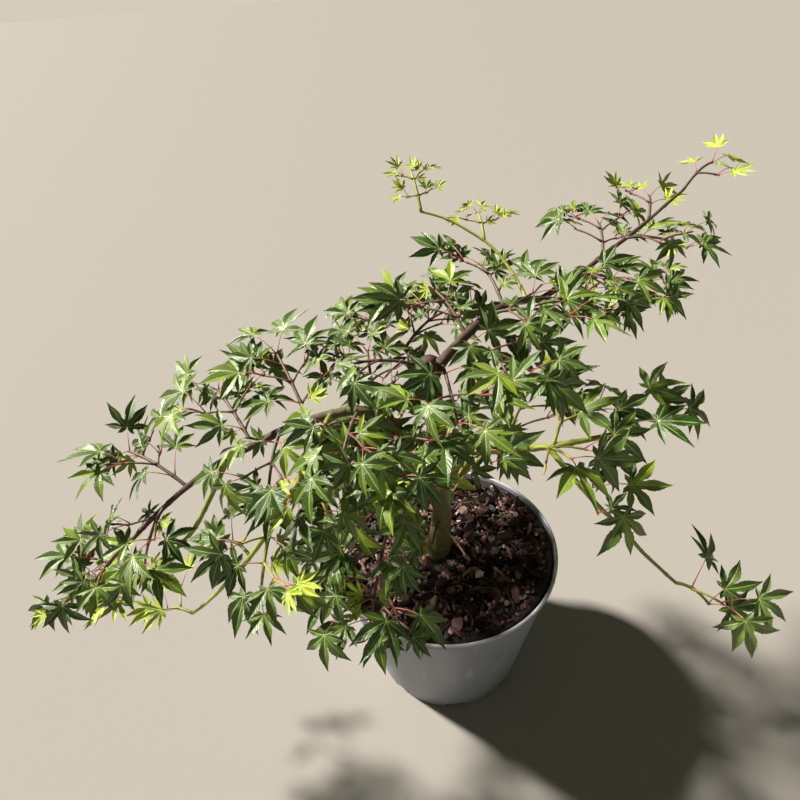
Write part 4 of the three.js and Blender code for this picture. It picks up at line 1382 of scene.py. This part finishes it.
chip_draws = np.random.default_rng(11)
chip_shapes = bpy.data.collections.new("chip_shapes")
for order, size in enumerate(CHIP_SIZES):
    name = f"chip_{order}"
    chip_shapes.objects.link(bpy.data.objects.new(name, chip_mesh(name, *size, chip_draws)))

# %% Bark chip finish
chip_bark, tree, shader = new_finish("bark_chips", 0.4, 0.25)
fibres = add_noise(tree, 420, 4, 0.65)
blend = plus(read_attribute(tree, "tone"), times(minus(fibres, 0.5), 0.28))
colour = add_ramp(blend, [
    (0.0, (0.003, 0.002, 0.002)), (0.34, (0.012, 0.006, 0.005)), (0.52, (0.052, 0.022, 0.019)),
    (0.68, (0.170, 0.076, 0.066)), (0.82, (0.380, 0.230, 0.200)), (1.0, (0.580, 0.450, 0.400))])
paint(shader, colour, fibres, 0.0012, 0.8)
print(chip_bark.name, "has", len(tree.nodes), "nodes")

# %% Scatter the chips with Geometry Nodes
CHIP_REACH = BED_EDGE - 4.4
CHIP_SCALE = (0.37, 1.15)  # least, spread
CHIP_LIFT = (-0.0034, 0.0044)  # least, most, in metres
CHIP_TURNS = (0.75, 0.6, 6.283)  # most about each axis; a tilt about x or y may go either way
WALL_SCALE = 0.36


def random_value(tree, low, high, seed):
    """A random number or vector for each point, drawn with a number of its own."""
    kind, first = ("FLOAT_VECTOR", 0) if isinstance(low, tuple) else ("FLOAT", 2)
    return add_node("FunctionNodeRandomValue", {first: low, first + 1: high, "Seed": seed}, tree,
                    first // 2, data_type=kind)


def strewn_with_chips(tree, given):
    """Chips at random places, smaller near the wall, and none where the trunk stands."""
    strewn = add_node("GeometryNodeDistributePointsOnFaces", {
        "Mesh": given["Geometry"], "Density": given["Density"], "Seed": given["Seed"]},
        distribute_method="RANDOM")
    lifted = add_node("GeometryNodeSetPosition", {
        "Geometry": strewn,
        "Offset": random_value(tree, *((0, 0, lift) for lift in CHIP_LIFT), 1)})
    place = add_node("GeometryNodeInputPosition", {}, tree)
    from_trunk = add_node("ShaderNodeVectorMath", {0: place, 1: given["Trunk Foot"]}, out="Value",
                          operation="DISTANCE")
    flat = add_node("ShaderNodeVectorMath", {0: place, 1: (1, 1, 0)}, operation="MULTIPLY")
    from_axis = add_node("ShaderNodeVectorMath", {0: flat}, out="Value", operation="LENGTH")
    near_wall = ranged(from_axis, given["Free Reach"], given["Reach"], 1.0, WALL_SCALE)
    rarely_large = add_math("POWER", random_value(tree, 0.0, 1.0, 3), 3.0)
    chip_size = plus(times(rarely_large, CHIP_SCALE[1]), CHIP_SCALE[0])
    tilt_x, tilt_y, _ = CHIP_TURNS
    picked = add_node("GeometryNodeCollectionInfo", {
        "Collection": given["Chips"], "Separate Children": True, "Reset Children": True})
    chips = add_node("GeometryNodeInstanceOnPoints", {
        "Points": lifted, "Instance": picked, "Pick Instance": True,
        "Selection": add_math("GREATER_THAN", from_trunk, given["Bare Radius"]),
        "Rotation": random_value(tree, (-tilt_x, -tilt_y, 0), CHIP_TURNS, 2),
        "Scale": times(chip_size, near_wall)})
    smaller_is_paler = minus(1.0, times(rarely_large, 0.4))
    tone = times(smaller_is_paler, random_value(tree, 0.0, 1.0, 4))
    return add_node("GeometryNodeStoreNamedAttribute", {
        "Geometry": chips, "Name": "tone", "Value": tone}, data_type="FLOAT", domain="INSTANCE")


disc = Bundle()
disc.add(*closed_rings(*mulch_rings(CHIP_REACH, 18)))
chips_mesh = made_by_nodes("bark_chips", disc.mesh("strewn_disc", []), strewn_with_chips, {
    "Density": 62000.0, "Seed": 5, "Chips": chip_shapes, "Trunk Foot": tuple(TRUNK_FOOT * MM),
    "Bare Radius": 0.0155, "Free Reach": (CHIP_REACH - 12) * MM, "Reach": CHIP_REACH * MM,
    "Finish": chip_bark})
show_piece("bark_chips", chips_mesh, ["bark_mulch"])

# %% Straw-coloured fibres
STRAWS = 46
STRAW_REACH = (9, 42)
STRAW_RADII = np.array([0.5, 0.9, 1, 1, 1, 0.9, 0.4])
straw = Bundle()
draws = np.random.default_rng(23)
for _ in range(STRAWS):
    heading = draws.uniform(0, 360)
    distance = CHIP_REACH * 0.86 * math.sqrt(draws.uniform(0.03, 1))
    middle = along(draws.uniform(0, 360)) * distance
    reach = draws.uniform(*STRAW_REACH)
    bow = draws.uniform(-0.25, 0.25) * reach
    shares = np.linspace(-0.5, 0.5, len(STRAW_RADII))[:, None]
    line = middle + along(heading) * shares * reach
    line = line + along(heading + 90) * bow * (0.25 - shares ** 2) * 4
    line = line[np.hypot(line[:, 0], line[:, 1]) < BED_EDGE - 3]
    if len(line) >= 4:
        line[:, 2] = mulch_height(line[:, 0], line[:, 1]) + 3.4 + draws.uniform(0, 1.6, len(line))
        radii = draws.uniform(0.28, 0.6) * STRAW_RADII[:len(line)]
        straw.add(*tube(line, radii, 5), tone=draws.uniform(0, 1))
straw_finish = thin_wood_finish("straw_fibres", [
    (0.1, (0.13, 0.07, 0.035)), (0.6, (0.30, 0.17, 0.06)), (1.0, (0.48, 0.36, 0.18))], 0.7)
show_bundle("straw_fibres", straw, straw_finish, ["bark_mulch"])

# %% A pale flake
FLAKE_SPOT = np.array([35.3, -45.8, MULCH_LEVEL + 7.5])
FLAKE_SIZE = (6.5, 4.6, 1.2)  # half length, half width, half thickness
FLAKE_SIDES = 14
FLAKE_LEVELS = [(0.72, -1.0), (1.0, -0.5), (1.0, 0.5), (0.80, 1.0)]  # width, height
angles = round_angles(FLAKE_SIDES)
reach = np.random.default_rng(31).uniform(0.72, 1.1, FLAKE_SIDES)
x, y = np.cos(angles) * reach * FLAKE_SIZE[0], np.sin(angles) * reach * FLAKE_SIZE[1]
flake_rings = [np.stack([x * width, y * width, np.full(FLAKE_SIDES, level * FLAKE_SIZE[2])], -1)
               for width, level in FLAKE_LEVELS]
tilt = np.array(Matrix.Rotation(0.5, 3, "X") @ Matrix.Rotation(0.35, 3, "Z"))
under = np.arange(FLAKE_SIDES)
above = (len(FLAKE_LEVELS) - 1) * FLAKE_SIDES + under
flake = Bundle()
flake.add(*shell(np.vstack(flake_rings) @ tilt.T + FLAKE_SPOT, [under[::-1]],
                 ring_quads(len(FLAKE_LEVELS), FLAKE_SIDES), [above]))
flake_finish, tree, shader = new_finish("bored_flake", 0.7)
bored = add_node("ShaderNodeTexVoronoi", {"Vector": object_place(tree), "Scale": 260.0},
                 out="Distance")
colour = add_mix(add_math("LESS_THAN", bored, 0.26), (0.62, 0.50, 0.36), (0.09, 0.05, 0.035))
tree.links.new(colour, shader.inputs["Base Color"])
show_bundle("pale_flake", flake, flake_finish, ["bark_mulch"])
